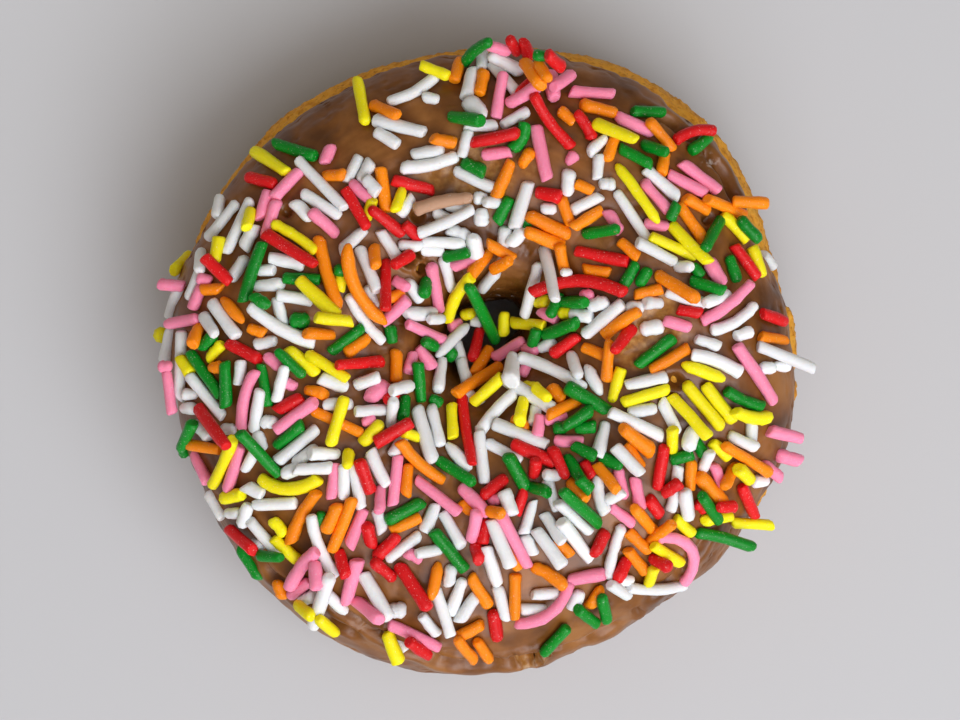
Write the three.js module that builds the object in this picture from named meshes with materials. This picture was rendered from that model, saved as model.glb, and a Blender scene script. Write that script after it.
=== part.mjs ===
// A frosted ring doughnut: a ring of fried yeast dough, and the chocolate frosting that coats its top.
//
// Millimetres, +Z up. The dough stands on the flat of its underside at z = 0, and the origin is in the
// middle of its base. The ring is nearly a bun: its hole has closed up to a short slanted slot, a little
// off the middle. The frosting follows the dough from just above or below its belly, over the crest and
// down into the hole. It lay deepest on the side away from its two bare arcs, where the crust shows.
import * as THREE from "three";

// ---- Driving dimensions ----
const BELLY_RADIUS = 43.5; // the mean radius of the widest level
const BELLY_HEIGHT = 14; // the height of that level
const CREST_HEIGHT = 30; // the mean height of the dough, without its frosting
const FOOT_SINK = 0.5; // how much of the rounded underside is pressed flat where it rests
const FROSTING_THICKNESS = 1.3;
const FROSTING_GAP = 0.35; // the clearance that keeps the two solids apart

// The hole at its narrowest: an ellipse, with its middle beside the ring's own.
const HOLE = { x: 0.6, y: 4.3, halfLength: 6.4, halfWidth: 4.4, turn: 41 };
const HOLE_LOBES = [{ waves: 3, rise: 0.4, peak: 20 }];

// How square the section is: 1 is an ellipse, and less is fuller.
const FULLNESS = { side: 0.92, top: 0.84, underside: 0.6 };

// Lobes of the outline and of the crest. Like the hole's, each is so many waves round the ring, with a peak
// at that angle.
const OUTLINE_LOBES = [
  { waves: 1, rise: 1.5, peak: 56 },
  { waves: 2, rise: 0.6, peak: 52 },
  { waves: 3, rise: 0.3, peak: 17 },
  { waves: 4, rise: 0.7, peak: 63 },
  { waves: 5, rise: 0.35, peak: 50 },
  { waves: 6, rise: 0.2, peak: 44 },
  { waves: 8, rise: 0.15, peak: 37 },
];
const CREST_LOBES = [
  { waves: 1, rise: 0.7, peak: 250 },
  { waves: 2, rise: 0.35, peak: 20 },
  { waves: 5, rise: 0.25, peak: 10 },
];

// Blisters in the dough, where the frosting ran thin.
const BLISTERS = [
  { x: 24.9, y: 3.8, radius: 8, rise: 0.8 },
  { x: -0.2, y: 25.6, radius: 7, rise: 0.6 },
];
const BLISTER_FROSTING = 0.35; // the share of the frosting's thickness left on top of one

// The frosting's two ends, as angles round the section: 0 is the belly, 90 the crest, 180 the hole.
const FROSTING_EDGE = -3;
const FROSTING_END = 172;
// Arcs of the rim where that edge stops higher, so that the crust shows from above.
const BARE_ARCS = [
  { middle: 54, halfWidth: 28, rise: 36 },
  { middle: 124, halfWidth: 29, rise: 28 },
  { middle: 355, halfWidth: 20, rise: 16 },
];
const ARC_RUN_OUT = 14; // how far past its half width an arc fades
const EDGE_WAVES = [
  { waves: 7, rise: 1.6, peak: 12 },
  { waves: 11, rise: 1.2, peak: 30 },
];

// ---- Facets ----
const ROUND_THE_RING = 60;
const ROUND_THE_DOUGH = 30;
const ROUND_THE_FROSTING = 38;
const OUTSIDE_SHARE = 20 / ROUND_THE_FROSTING; // the part of those facets that its outer face has
const LIP_BLUNTNESS = 0.42; // how soon the frosting reaches its full thickness: smaller is blunter
const NORMAL_STEP = 0.01; // in radians

const { degToRad, euclideanModulo, lerp, smoothstep } = THREE.MathUtils;

/** A sine or cosine with its size raised to a power and its sign kept. */
function squaredOff(wave, power) {
  return Math.sign(wave) * Math.abs(wave) ** power;
}

/** The sum of some lobes at an angle round the ring. */
function lobesAt(lobes, turn) {
  return lobes.reduce((sum, { waves, rise, peak }) => sum + rise * Math.cos(waves * (turn - degToRad(peak))), 0);
}

/** 1 in the middle of a hump, falling smoothly to 0 at its half width and beyond. */
function hump(distance, halfWidth) {
  return distance < halfWidth ? 0.5 + 0.5 * Math.cos((Math.PI * distance) / halfWidth) : 0;
}

/** The share of a blister's height at a place seen from above, from 0 to 1. */
function blisterShare({ x, y, radius }, place) {
  return hump(Math.hypot(place.x - x, place.y - y), radius);
}

/** The point of the belly at an angle round the ring. */
function bellyPoint(turn) {
  const radius = BELLY_RADIUS + lobesAt(OUTLINE_LOBES, turn);
  return new THREE.Vector3(radius * Math.cos(turn), radius * Math.sin(turn), 0);
}

/** The point of the hole's rim, at its narrowest, that faces an angle round the ring. */
function holePoint(turn) {
  const slant = degToRad(HOLE.turn);
  const along = Math.cos(turn - slant) / HOLE.halfLength;
  const across = Math.sin(turn - slant) / HOLE.halfWidth;
  const radius = 1 / Math.hypot(along, across) + lobesAt(HOLE_LOBES, turn);
  return new THREE.Vector3(HOLE.x + radius * Math.cos(turn), HOLE.y + radius * Math.sin(turn), 0);
}

/** A point of the dough's skin, from its angle round the ring and its angle round the section. */
function doughPoint(turn, around) {
  const across = 0.5 + 0.5 * squaredOff(Math.cos(around), FULLNESS.side);
  const point = new THREE.Vector3().lerpVectors(holePoint(turn), bellyPoint(turn), across);
  const sine = Math.sin(around);
  if (sine < 0) {
    const drop = (BELLY_HEIGHT + FOOT_SINK) * squaredOff(sine, FULLNESS.underside);
    return point.setZ(Math.max(0, BELLY_HEIGHT + drop));
  }
  const crest = CREST_HEIGHT - BELLY_HEIGHT + lobesAt(CREST_LOBES, turn);
  const blisters = BLISTERS.reduce((sum, blister) => sum + blister.rise * blisterShare(blister, point), 0);
  return point.setZ(BELLY_HEIGHT + crest * squaredOff(sine, FULLNESS.top) + blisters * sine);
}

/** The direction straight out of the dough's skin at that point. */
function doughNormal(turn, around) {
  const roundTheRing = doughPoint(turn + NORMAL_STEP, around).sub(doughPoint(turn - NORMAL_STEP, around));
  const roundTheSection = doughPoint(turn, around + NORMAL_STEP).sub(doughPoint(turn, around - NORMAL_STEP));
  return roundTheRing.cross(roundTheSection).normalize();
}

/** The angle round the section where the frosting starts, at an angle round the ring. */
function frostingEdge(turn) {
  const rise = BARE_ARCS.reduce((sum, arc) => {
    const apart = Math.abs(euclideanModulo(turn - degToRad(arc.middle) + Math.PI, 2 * Math.PI) - Math.PI);
    const past = smoothstep(apart, degToRad(arc.halfWidth), degToRad(arc.halfWidth + ARC_RUN_OUT));
    return sum + arc.rise * (1 - past);
  }, 0);
  return degToRad(FROSTING_EDGE + rise + lobesAt(EDGE_WAVES, turn));
}

/** A point of the frosting, from its angle round the ring and the share of the way round its own section. */
function frostingPoint(turn, share) {
  const outside = share < OUTSIDE_SHARE;
  const onTheFace = outside ? share / OUTSIDE_SHARE : (1 - share) / (1 - OUTSIDE_SHARE);
  const fromTheEdge = outside ? 0.5 - 0.5 * Math.cos(Math.PI * onTheFace) : onTheFace;
  const around = lerp(frostingEdge(turn), degToRad(FROSTING_END), fromTheEdge);
  const point = doughPoint(turn, around);
  let height = FROSTING_GAP;
  if (outside) {
    const thinned = BLISTERS.reduce((most, blister) => Math.max(most, blisterShare(blister, point)), 0);
    const full = FROSTING_THICKNESS * lerp(1, BLISTER_FROSTING, thinned);
    height += full * Math.sin(Math.PI * onTheFace) ** LIP_BLUNTNESS;
  }
  return point.addScaledVector(doughNormal(turn, around), height);
}

/** A closed ring: a torus with each vertex moved to where place(turn, share of the way round) puts it. */
function ring(roundTheSection, place) {
  const geometry = new THREE.TorusGeometry(2, 1, roundTheSection, ROUND_THE_RING);
  const { position, uv } = geometry.attributes;
  for (let i = 0; i < position.count; i++) {
    const turn = 2 * Math.PI * (uv.getX(i) % 1);
    const point = place(turn, uv.getY(i) % 1);
    position.setXYZ(i, point.x, point.y, point.z);
  }
  geometry.computeVertexNormals();
  return geometry;
}

function makeDough() {
  const geometry = ring(ROUND_THE_DOUGH, (turn, share) => doughPoint(turn, 2 * Math.PI * share));
  const material = new THREE.MeshStandardMaterial({ color: 0xb9853f, roughness: 0.75, metalness: 0 });
  const mesh = new THREE.Mesh(geometry, material);
  mesh.name = "dough";
  return mesh;
}

function makeFrosting() {
  const geometry = ring(ROUND_THE_FROSTING, frostingPoint);
  const material = new THREE.MeshStandardMaterial({ color: 0x6f4930, roughness: 0.35, metalness: 0 });
  const mesh = new THREE.Mesh(geometry, material);
  mesh.name = "frosting";
  return mesh;
}

/** Brings the middle of the base of everything in the group to the origin. */
function centreOnItsBase(group) {
  const box = new THREE.Box3().setFromObject(group, true);
  const middle = box.getCenter(new THREE.Vector3());
  for (const mesh of group.children) mesh.position.set(-middle.x, -middle.y, -box.min.z);
}

const doughnut = new THREE.Group();
doughnut.add(makeDough(), makeFrosting());
centreOnItsBase(doughnut);

export default doughnut;
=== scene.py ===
"""The looks of a sprinkle frosted ring doughnut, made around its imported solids.

The dough and the frosting are fine copies of their solids, with the crust's flakes and the frosting's pits
and lip worked into them. The sugar sprinkles are laid one by one, each resting on the frosting and on those
laid before it. Lengths are in metres, and values whose names end in _mm are in millimetres.
"""

import logging
import math
import random
from dataclasses import dataclass, field, replace
from enum import Enum

import bpy
import numpy as np
from mathutils import Matrix, Vector
from mathutils.bvhtree import BVHTree

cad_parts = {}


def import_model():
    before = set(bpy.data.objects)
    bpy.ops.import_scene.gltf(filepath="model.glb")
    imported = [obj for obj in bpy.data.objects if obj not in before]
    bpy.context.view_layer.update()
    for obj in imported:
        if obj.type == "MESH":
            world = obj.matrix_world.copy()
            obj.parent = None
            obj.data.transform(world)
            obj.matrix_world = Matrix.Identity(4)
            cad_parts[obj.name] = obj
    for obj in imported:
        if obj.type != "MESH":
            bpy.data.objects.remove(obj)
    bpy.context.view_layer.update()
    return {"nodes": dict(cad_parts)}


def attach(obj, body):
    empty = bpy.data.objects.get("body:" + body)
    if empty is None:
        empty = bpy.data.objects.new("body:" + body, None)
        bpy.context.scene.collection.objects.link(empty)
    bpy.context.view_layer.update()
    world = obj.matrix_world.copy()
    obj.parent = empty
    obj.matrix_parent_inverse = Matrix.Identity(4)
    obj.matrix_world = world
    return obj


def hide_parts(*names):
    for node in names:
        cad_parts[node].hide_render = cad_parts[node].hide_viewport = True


LOG = logging.getLogger("doughnut")
MM = 0.001
BODY = "root"
VIEWPOINT_MM = (-0.27, 0.14, 767.0)  # where the camera is
LEVEL_MM = 14.0  # the level on which the sprinkles' places are given, as they look from the viewpoint


# ---- Small helpers ----


def linear(colour: str) -> tuple[float, float, float, float]:
    """Turn an sRGB hex colour to the linear values that Blender's sockets take.

    Args:
        colour: Six hex digits, red first.

    Returns:
        Linear red, green and blue, and a full alpha.
    """
    shares = [int(colour[i : i + 2], 16) / 255 for i in (0, 2, 4)]
    red, green, blue = (s / 12.92 if s <= 0.04045 else ((s + 0.055) / 1.055) ** 2.4 for s in shares)
    return red, green, blue, 1.0


def add_node(
    tree: bpy.types.NodeTree, kind: str, settings: dict[str, object], inputs: dict[str | int, object]
) -> bpy.types.Node:
    """Add a node to a material with its settings, its values and its links.

    Args:
        tree: The material's node tree.
        kind: The node's type.
        settings: Values for the node's own properties.
        inputs: For each input socket, the value that it holds or the output socket that feeds it.

    Returns:
        The new node.
    """
    node = tree.nodes.new(kind)
    for name, value in settings.items():
        setattr(node, name, value)
    for name, value in inputs.items():
        if isinstance(value, bpy.types.NodeSocket):
            tree.links.new(value, node.inputs[name])
        else:
            node.inputs[name].default_value = value
    return node


def fill_ramp(ramp: bpy.types.Node, stops: list[tuple[float, str]]) -> None:
    """Give a colour ramp its stops.

    Args:
        ramp: The Color Ramp node.
        stops: The place of each stop, from 0 to 1, and its sRGB hex colour.
    """
    elements = ramp.color_ramp.elements
    while len(elements) < len(stops):
        elements.new(1.0)
    for element, (place, colour) in zip(elements, stops):
        element.position = place
        element.color = linear(colour)


def new_material(name: str) -> tuple[bpy.types.Material, bpy.types.NodeTree]:
    """Start a node material with nothing in it but its output.

    Args:
        name: What the real material is.

    Returns:
        The material and its empty node tree.
    """
    material = bpy.data.materials.new(name)
    material.use_nodes = True
    tree = material.node_tree
    tree.nodes.clear()
    tree.nodes.new("ShaderNodeOutputMaterial")
    return material, tree


def finish_material(tree: bpy.types.NodeTree, shader: bpy.types.Node) -> None:
    """Link a shader to its material's output."""
    tree.links.new(shader.outputs[0], tree.nodes["Material Output"].inputs["Surface"])


def select_only(piece: bpy.types.Object) -> None:
    """Make one object the only one selected, and the active one."""
    bpy.ops.object.select_all(action="DESELECT")
    piece.select_set(True)
    bpy.context.view_layer.objects.active = piece


def points_of(piece: bpy.types.Object) -> np.ndarray:
    """The places of a mesh's vertices, as rows."""
    places = np.empty(len(piece.data.vertices) * 3)
    piece.data.vertices.foreach_get("co", places)
    return places.reshape(-1, 3)


def normals_of(piece: bpy.types.Object) -> np.ndarray:
    """The directions in which a mesh's vertices face, as rows."""
    directions = np.empty(len(piece.data.vertices) * 3, np.float32)
    piece.data.vertex_normals.foreach_get("vector", directions)
    return directions.reshape(-1, 3).astype(float)


def move_points(piece: bpy.types.Object, places: np.ndarray) -> None:
    """Put a mesh's vertices at new places."""
    piece.data.vertices.foreach_set("co", places.ravel())
    piece.data.update()


def ease(value: np.ndarray | float, low: float, high: float) -> np.ndarray | float:
    """Rise smoothly from 0 at the low end to 1 at the high end."""
    share = np.clip((value - low) / (high - low), 0, 1)
    return share * share * (3 - 2 * share)


def give_attribute(piece: bpy.types.Object, name: str, values: np.ndarray) -> None:
    """Store one number for each vertex of a mesh, for a material to read."""
    attribute = piece.data.attributes.new(name, "FLOAT", "POINT")
    attribute.data.foreach_set("value", values.astype(np.float32))


def fine_copy(node: bpy.types.Object, name: str, levels: int) -> bpy.types.Object:
    """Copy a solid's faceted mesh and turn its facets to a smooth, fine surface.

    Args:
        node: The solid's own object, which is left alone.
        name: The new piece's name.
        levels: How many times its faces are divided.

    Returns:
        The new piece, of plain geometry.
    """
    piece = bpy.data.objects.new(name, node.data.copy())
    piece.data.materials.clear()
    bpy.context.scene.collection.objects.link(piece)
    select_only(piece)
    bpy.ops.mesh.customdata_custom_splitnormals_clear()
    bpy.ops.object.mode_set(mode="EDIT")
    bpy.ops.mesh.select_all(action="SELECT")
    bpy.ops.mesh.remove_doubles(threshold=0.002 * MM)
    bpy.ops.mesh.tris_convert_to_quads(face_threshold=math.pi, shape_threshold=math.pi)
    bpy.ops.object.mode_set(mode="OBJECT")
    divided = piece.modifiers.new("divided", "SUBSURF")
    divided.levels = levels
    divided.render_levels = levels
    bpy.ops.object.modifier_apply(modifier=divided.name)
    bpy.ops.object.shade_smooth()
    return piece


def roughen(
    piece: bpy.types.Object, grain_mm: float, height_mm: float, share: np.ndarray | None = None
) -> None:
    """Push a mesh in and out along its normals by a cloudy pattern, and leave it plain geometry.

    Args:
        piece: The mesh to work on.
        grain_mm: The size of the pattern's lumps.
        height_mm: How far apart its highest and lowest points are.
        share: How much of that each vertex takes, from 0 to 1, or nothing for all of it everywhere.
    """
    clouds = bpy.data.textures.new(f"{piece.name}_lumps", "CLOUDS")
    clouds.noise_scale = grain_mm * MM
    clouds.noise_depth = 2
    pushed = piece.modifiers.new("pushed", "DISPLACE")
    pushed.texture = clouds
    pushed.texture_coords = "LOCAL"
    pushed.strength = height_mm * MM
    pushed.mid_level = 0.5
    if share is not None:
        group = piece.vertex_groups.new(name="share")
        for step in np.unique(np.round(share, 1)):
            if step > 0:
                group.add(np.flatnonzero(np.round(share, 1) == step).tolist(), float(step), "REPLACE")
        pushed.vertex_group = group.name
    select_only(piece)
    bpy.ops.object.modifier_apply(modifier=pushed.name)
    piece.vertex_groups.clear()


def tree_of(pieces: list[bpy.types.Object]) -> BVHTree:
    """Gather some meshes into one tree that rays can be cast at."""
    vertices: list[Vector] = []
    faces: list[list[int]] = []
    for piece in pieces:
        start = len(vertices)
        vertices.extend(v.co.copy() for v in piece.data.vertices)
        faces.extend([start + i for i in p.vertices] for p in piece.data.polygons)
    return BVHTree.FromPolygons(vertices, faces)


def join_all(pieces: list[bpy.types.Object], name: str) -> bpy.types.Object:
    """Join some objects into one mesh with a name."""
    select_only(pieces[0])
    for piece in pieces:
        piece.select_set(True)
    bpy.ops.object.join()
    joined = bpy.context.object
    joined.name = name
    joined.data.name = name
    return joined


# ---- Finishes ----


@dataclass(frozen=True)
class FriedCrust:
    """Crust of raised dough, fried in fat: matt, finely pored, golden where the fat reached it."""

    pore_mm: float = 0.55
    fleck_mm: float = 1.3
    mottle_mm: float = 6.0
    full_height_mm: float = 33.0

    def material(self) -> bpy.types.Material:
        """Make the crust: bands of colour up its side, mottled and flecked, with a bump of fine pores.

        Returns:
            The material.
        """
        # Fried crust is dry and porous: it looks matt, and hardly glints even where it faces the light.
        material, tree = new_material("fried_yeast_dough_crust")
        where = add_node(tree, "ShaderNodeTexCoord", {}, {}).outputs["Object"]
        mottle, flecks, pores = (
            add_node(
                tree, "ShaderNodeTexNoise", {}, {"Vector": where, "Scale": 1 / (size * MM), "Detail": 4.0}
            ).outputs["Fac"]
            for size in (self.mottle_mm, self.fleck_mm, self.pore_mm)
        )
        height = add_node(tree, "ShaderNodeSeparateXYZ", {}, {"Vector": where}).outputs["Z"]
        share = add_node(
            tree,
            "ShaderNodeMapRange",
            {},
            {"Value": height, "From Min": 0.0, "From Max": self.full_height_mm * MM},
        ).outputs["Result"]
        # The dough floats as it fries, so the fat leaves a pale line round its belly, which wanders.
        wander = add_node(
            tree, "ShaderNodeMath", {"operation": "MULTIPLY_ADD"}, {0: mottle, 1: 0.16, 2: -0.08}
        ).outputs[0]
        wandering = add_node(tree, "ShaderNodeMath", {"operation": "ADD"}, {0: share, 1: wander}).outputs[0]
        bands = add_node(tree, "ShaderNodeValToRGB", {}, {"Fac": wandering})
        fill_ramp(
            bands,
            [
                (0.02, "935f28"),
                (0.16, "b27a32"),
                (0.30, "cf9c55"),
                (0.36, "dfba7e"),
                (0.42, "d39b48"),
                (0.54, "edad40"),
                (0.80, "f2b446"),
            ],
        )
        colour = bands.outputs["Color"]
        for pattern, factor, stops in (
            (flecks, 0.45, [(0.34, "b98a50"), (0.45, "ecd9bb"), (0.54, "ffffff")]),
            (pores, 0.5, [(0.30, "a07c50"), (0.45, "f6ecdc"), (0.75, "ffffff")]),
        ):
            spots = add_node(tree, "ShaderNodeValToRGB", {}, {"Fac": pattern})
            fill_ramp(spots, stops)
            colour = add_node(
                tree,
                "ShaderNodeMix",
                {"data_type": "RGBA", "blend_type": "MULTIPLY"},
                {"Factor": factor, "A": colour, "B": spots.outputs["Color"]},
            ).outputs["Result"]
        bump = add_node(
            tree, "ShaderNodeBump", {}, {"Height": pores, "Strength": 0.9, "Distance": 0.25 * MM}
        ).outputs["Normal"]
        shader = add_node(
            tree,
            "ShaderNodeBsdfPrincipled",
            {},
            {"Base Color": colour, "Normal": bump, "Roughness": 0.65, "Subsurface Weight": 0.1},
        )
        shader.inputs["Specular IOR Level"].default_value = 0.08
        shader.inputs["Subsurface Scale"].default_value = 1.0 * MM
        shader.inputs["Subsurface Radius"].default_value = (1.0, 0.5, 0.25)
        finish_material(tree, shader)
        return material


@dataclass(frozen=True)
class SetFrosting:
    """Chocolate frosting, poured warm and set: a satin skin, thin enough in places to show the dough."""

    cloud_mm: float = 7.0
    grain_mm: float = 0.8
    streak_mm: float = 0.7
    streak_length_mm: float = 9.0
    ring_radius_mm: float = 40.0

    def material(self) -> bpy.types.Material:
        """Make the frosting: streaky brown, golden where "bare", darkened by painted shade deep in the hole,
        and pale with "dust".

        Returns:
            The material.
        """
        # Frosting that sets on its own is smooth but not glazed: its glints are soft, and their edges blur.
        material, tree = new_material("set_chocolate_frosting")
        where = add_node(tree, "ShaderNodeTexCoord", {}, {}).outputs["Object"]
        cloud, grain = (
            add_node(
                tree, "ShaderNodeTexNoise", {}, {"Vector": where, "Scale": 1 / (size * MM), "Detail": 4.0}
            ).outputs["Fac"]
            for size in (self.cloud_mm, self.grain_mm)
        )
        streaks = add_node(
            tree,
            "ShaderNodeTexNoise",
            {},
            {"Vector": self.round_the_ring(tree, where), "Scale": 1.0, "Detail": 3.0},
        ).outputs["Fac"]
        blend = add_node(
            tree, "ShaderNodeMath", {"operation": "MULTIPLY_ADD"}, {0: streaks, 1: 0.25, 2: cloud}
        ).outputs[0]
        browns = add_node(tree, "ShaderNodeValToRGB", {}, {"Fac": blend})
        fill_ramp(browns, [(0.42, "583109"), (0.60, "784818"), (0.78, "96622d")])
        golds = add_node(tree, "ShaderNodeValToRGB", {}, {"Fac": grain})
        fill_ramp(golds, [(0.35, "946225"), (0.52, "b68036"), (0.68, "cfa158")])
        bare = add_node(tree, "ShaderNodeAttribute", {"attribute_name": "bare"}, {}).outputs["Fac"]
        ragged = add_node(
            tree, "ShaderNodeMath", {"operation": "MULTIPLY_ADD"}, {0: cloud, 1: 1.2, 2: -0.6}
        ).outputs[0]
        uneven = add_node(tree, "ShaderNodeMath", {"operation": "ADD"}, {0: bare, 1: ragged}).outputs[0]
        thin = add_node(
            tree,
            "ShaderNodeMapRange",
            {},
            {"Value": uneven, "From Min": 0.25, "From Max": 0.95, "To Max": 0.8},
        ).outputs["Result"]
        colour = add_node(
            tree,
            "ShaderNodeMix",
            {"data_type": "RGBA"},
            {"Factor": thin, "A": browns.outputs["Color"], "B": golds.outputs["Color"]},
        ).outputs["Result"]
        # Painted shade: deep in the hole, where shade falls, the colour is darkened towards near black.
        hole_shade = add_node(tree, "ShaderNodeAttribute", {"attribute_name": "hole_shade"}, {}).outputs["Fac"]
        hole_shaded = add_node(
            tree,
            "ShaderNodeMix",
            {"data_type": "RGBA"},
            {"Factor": hole_shade, "A": colour, "B": linear("2c1604")},
        ).outputs["Result"]
        dust = add_node(tree, "ShaderNodeAttribute", {"attribute_name": "dust"}, {}).outputs["Fac"]
        scratchy = add_node(
            tree, "ShaderNodeMath", {"operation": "MULTIPLY_ADD"}, {0: grain, 1: 3.0, 2: -1.5}
        ).outputs[0]
        dusted = add_node(
            tree, "ShaderNodeMath", {"operation": "MULTIPLY", "use_clamp": True}, {0: dust, 1: scratchy}
        ).outputs[0]
        powdered = add_node(
            tree,
            "ShaderNodeMix",
            {"data_type": "RGBA"},
            {"Factor": dusted, "A": hole_shaded, "B": linear("e6dcd2")},
        ).outputs["Result"]
        bump = add_node(
            tree, "ShaderNodeBump", {}, {"Height": grain, "Strength": 0.5, "Distance": 0.06 * MM}
        ).outputs["Normal"]
        rough = add_node(
            tree, "ShaderNodeMapRange", {}, {"Value": cloud, "To Min": 0.25, "To Max": 0.45}
        ).outputs["Result"]
        shader = add_node(
            tree,
            "ShaderNodeBsdfPrincipled",
            {},
            {"Base Color": powdered, "Normal": bump, "Roughness": rough, "Subsurface Weight": 0.04},
        )
        shader.inputs["Specular IOR Level"].default_value = 0.44
        shader.inputs["Subsurface Scale"].default_value = 0.8 * MM
        shader.inputs["Subsurface Radius"].default_value = (1.0, 0.5, 0.3)
        finish_material(tree, shader)
        return material

    def round_the_ring(self, tree: bpy.types.NodeTree, where: bpy.types.NodeSocket) -> bpy.types.NodeSocket:
        """Turn places to coordinates that run round the ring, so that a noise there makes long streaks.

        Args:
            tree: The material's node tree.
            where: The place.

        Returns:
            The socket that gives the new coordinates.
        """
        parts = add_node(tree, "ShaderNodeSeparateXYZ", {}, {"Vector": where}).outputs
        turn = add_node(
            tree, "ShaderNodeMath", {"operation": "ARCTAN2"}, {0: parts["Y"], 1: parts["X"]}
        ).outputs[0]
        along = add_node(
            tree,
            "ShaderNodeMath",
            {"operation": "MULTIPLY"},
            {0: turn, 1: self.ring_radius_mm / self.streak_length_mm},
        ).outputs[0]
        out = add_node(tree, "ShaderNodeVectorMath", {"operation": "LENGTH"}, {0: where}).outputs["Value"]
        across = add_node(
            tree, "ShaderNodeMath", {"operation": "MULTIPLY"}, {0: out, 1: 1 / (self.streak_mm * MM)}
        ).outputs[0]
        return add_node(tree, "ShaderNodeCombineXYZ", {}, {"X": along, "Y": across}).outputs["Vector"]


@dataclass(frozen=True)
class SugarPaste:
    """Sugar paste, pressed out as thin strings, dried and broken up: slightly see-through, softly glossy."""

    name: str
    colour: str
    roughness: float
    glaze: float
    fleck_mm: float = 0.5
    glint_speck_mm: float = 0.22

    def material(self) -> bpy.types.Material:
        """Make the paste: a "tint" for each sprinkle, faint flecks, pale specks of painted sparkle, and a
        "smear" of frosting.

        Returns:
            The material.
        """
        # Dried sugar paste lets light a little way in, so its edges glow softly and its shadows are mild.
        # Its sugar grains and their glints are too fine to show, so they are painted as pale specks as coarse
        # as the speck size set above: partly the grains' own paleness, partly painted highlight.
        material, tree = new_material(f"sugar_paste_{self.name}")
        where = add_node(tree, "ShaderNodeTexCoord", {}, {}).outputs["Object"]
        flecks, glint_specks = (
            add_node(
                tree, "ShaderNodeTexNoise", {}, {"Vector": where, "Scale": 1 / (size * MM), "Detail": 2.0}
            ).outputs["Fac"]
            for size in (self.fleck_mm, self.glint_speck_mm)
        )
        tint = add_node(tree, "ShaderNodeAttribute", {"attribute_name": "tint"}, {}).outputs["Fac"]
        both = add_node(
            tree, "ShaderNodeMath", {"operation": "MULTIPLY_ADD"}, {0: flecks, 1: 0.4, 2: tint}
        ).outputs[0]
        bright = add_node(
            tree, "ShaderNodeMapRange", {}, {"Value": both, "From Max": 1.4, "To Min": 0.82, "To Max": 1.08}
        ).outputs["Result"]
        tinted = add_node(
            tree, "ShaderNodeHueSaturation", {}, {"Color": linear(self.colour), "Value": bright}
        ).outputs["Color"]
        # Painted sparkle: pale specks mixed into the colour stand in for glints off the sugar grains.
        pale = add_node(
            tree,
            "ShaderNodeMapRange",
            {},
            {"Value": glint_specks, "From Min": 0.64, "From Max": 0.76, "To Max": 0.45},
        ).outputs["Result"]
        glint_specked = add_node(
            tree, "ShaderNodeMix", {"data_type": "RGBA"}, {"Factor": pale, "A": tinted, "B": linear("f4efe9")}
        ).outputs["Result"]
        smear = add_node(tree, "ShaderNodeAttribute", {"attribute_name": "smear"}, {}).outputs["Fac"]
        patchy = add_node(
            tree, "ShaderNodeMath", {"operation": "MULTIPLY_ADD"}, {0: flecks, 1: 1.6, 2: smear}
        ).outputs[0]
        smeared = add_node(
            tree,
            "ShaderNodeMapRange",
            {},
            {"Value": patchy, "From Min": 1.15, "From Max": 1.5, "To Max": 0.85},
        ).outputs["Result"]
        colour = add_node(
            tree,
            "ShaderNodeMix",
            {"data_type": "RGBA"},
            {"Factor": smeared, "A": glint_specked, "B": linear("b07a48")},
        ).outputs["Result"]
        bump = add_node(
            tree, "ShaderNodeBump", {}, {"Height": flecks, "Strength": 0.8, "Distance": 0.1 * MM}
        ).outputs["Normal"]
        shader = add_node(
            tree,
            "ShaderNodeBsdfPrincipled",
            {},
            {
                "Base Color": colour,
                "Normal": bump,
                "Roughness": self.roughness,
                "Coat Weight": self.glaze,
                "Coat Roughness": 0.2,
                "Subsurface Weight": 0.4,
                "Subsurface Scale": 0.7 * MM,
                "Specular IOR Level": 0.24,
            },
        )
        shader.inputs["Subsurface Radius"].default_value = (1.0, 0.8, 0.6)
        finish_material(tree, shader)
        return material


class Sugar(Enum):
    """The colours of the sprinkles. The whites are matter, and the darker ones are glossier."""

    WHITE = SugarPaste("white", "ebeeed", 0.6, 0.0)
    PINK = SugarPaste("pink", "ff92b2", 0.5, 0.0)
    ORANGE = SugarPaste("orange", "ff9008", 0.48, 0.0)
    YELLOW = SugarPaste("yellow", "fbee10", 0.5, 0.0)
    GREEN = SugarPaste("green", "008a20", 0.4, 0.05)
    RED = SugarPaste("red", "dd161a", 0.45, 0.03)


# ---- Where the sprinkles lie ----

# Each sprinkle: the x and y of its middle, its turn in degrees and its length, and if it isn't straight and
# 1.8 mm thick, its bend in degrees, to the left as it heads, and its thickness. A last value says how much
# it is smeared with frosting.

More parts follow.
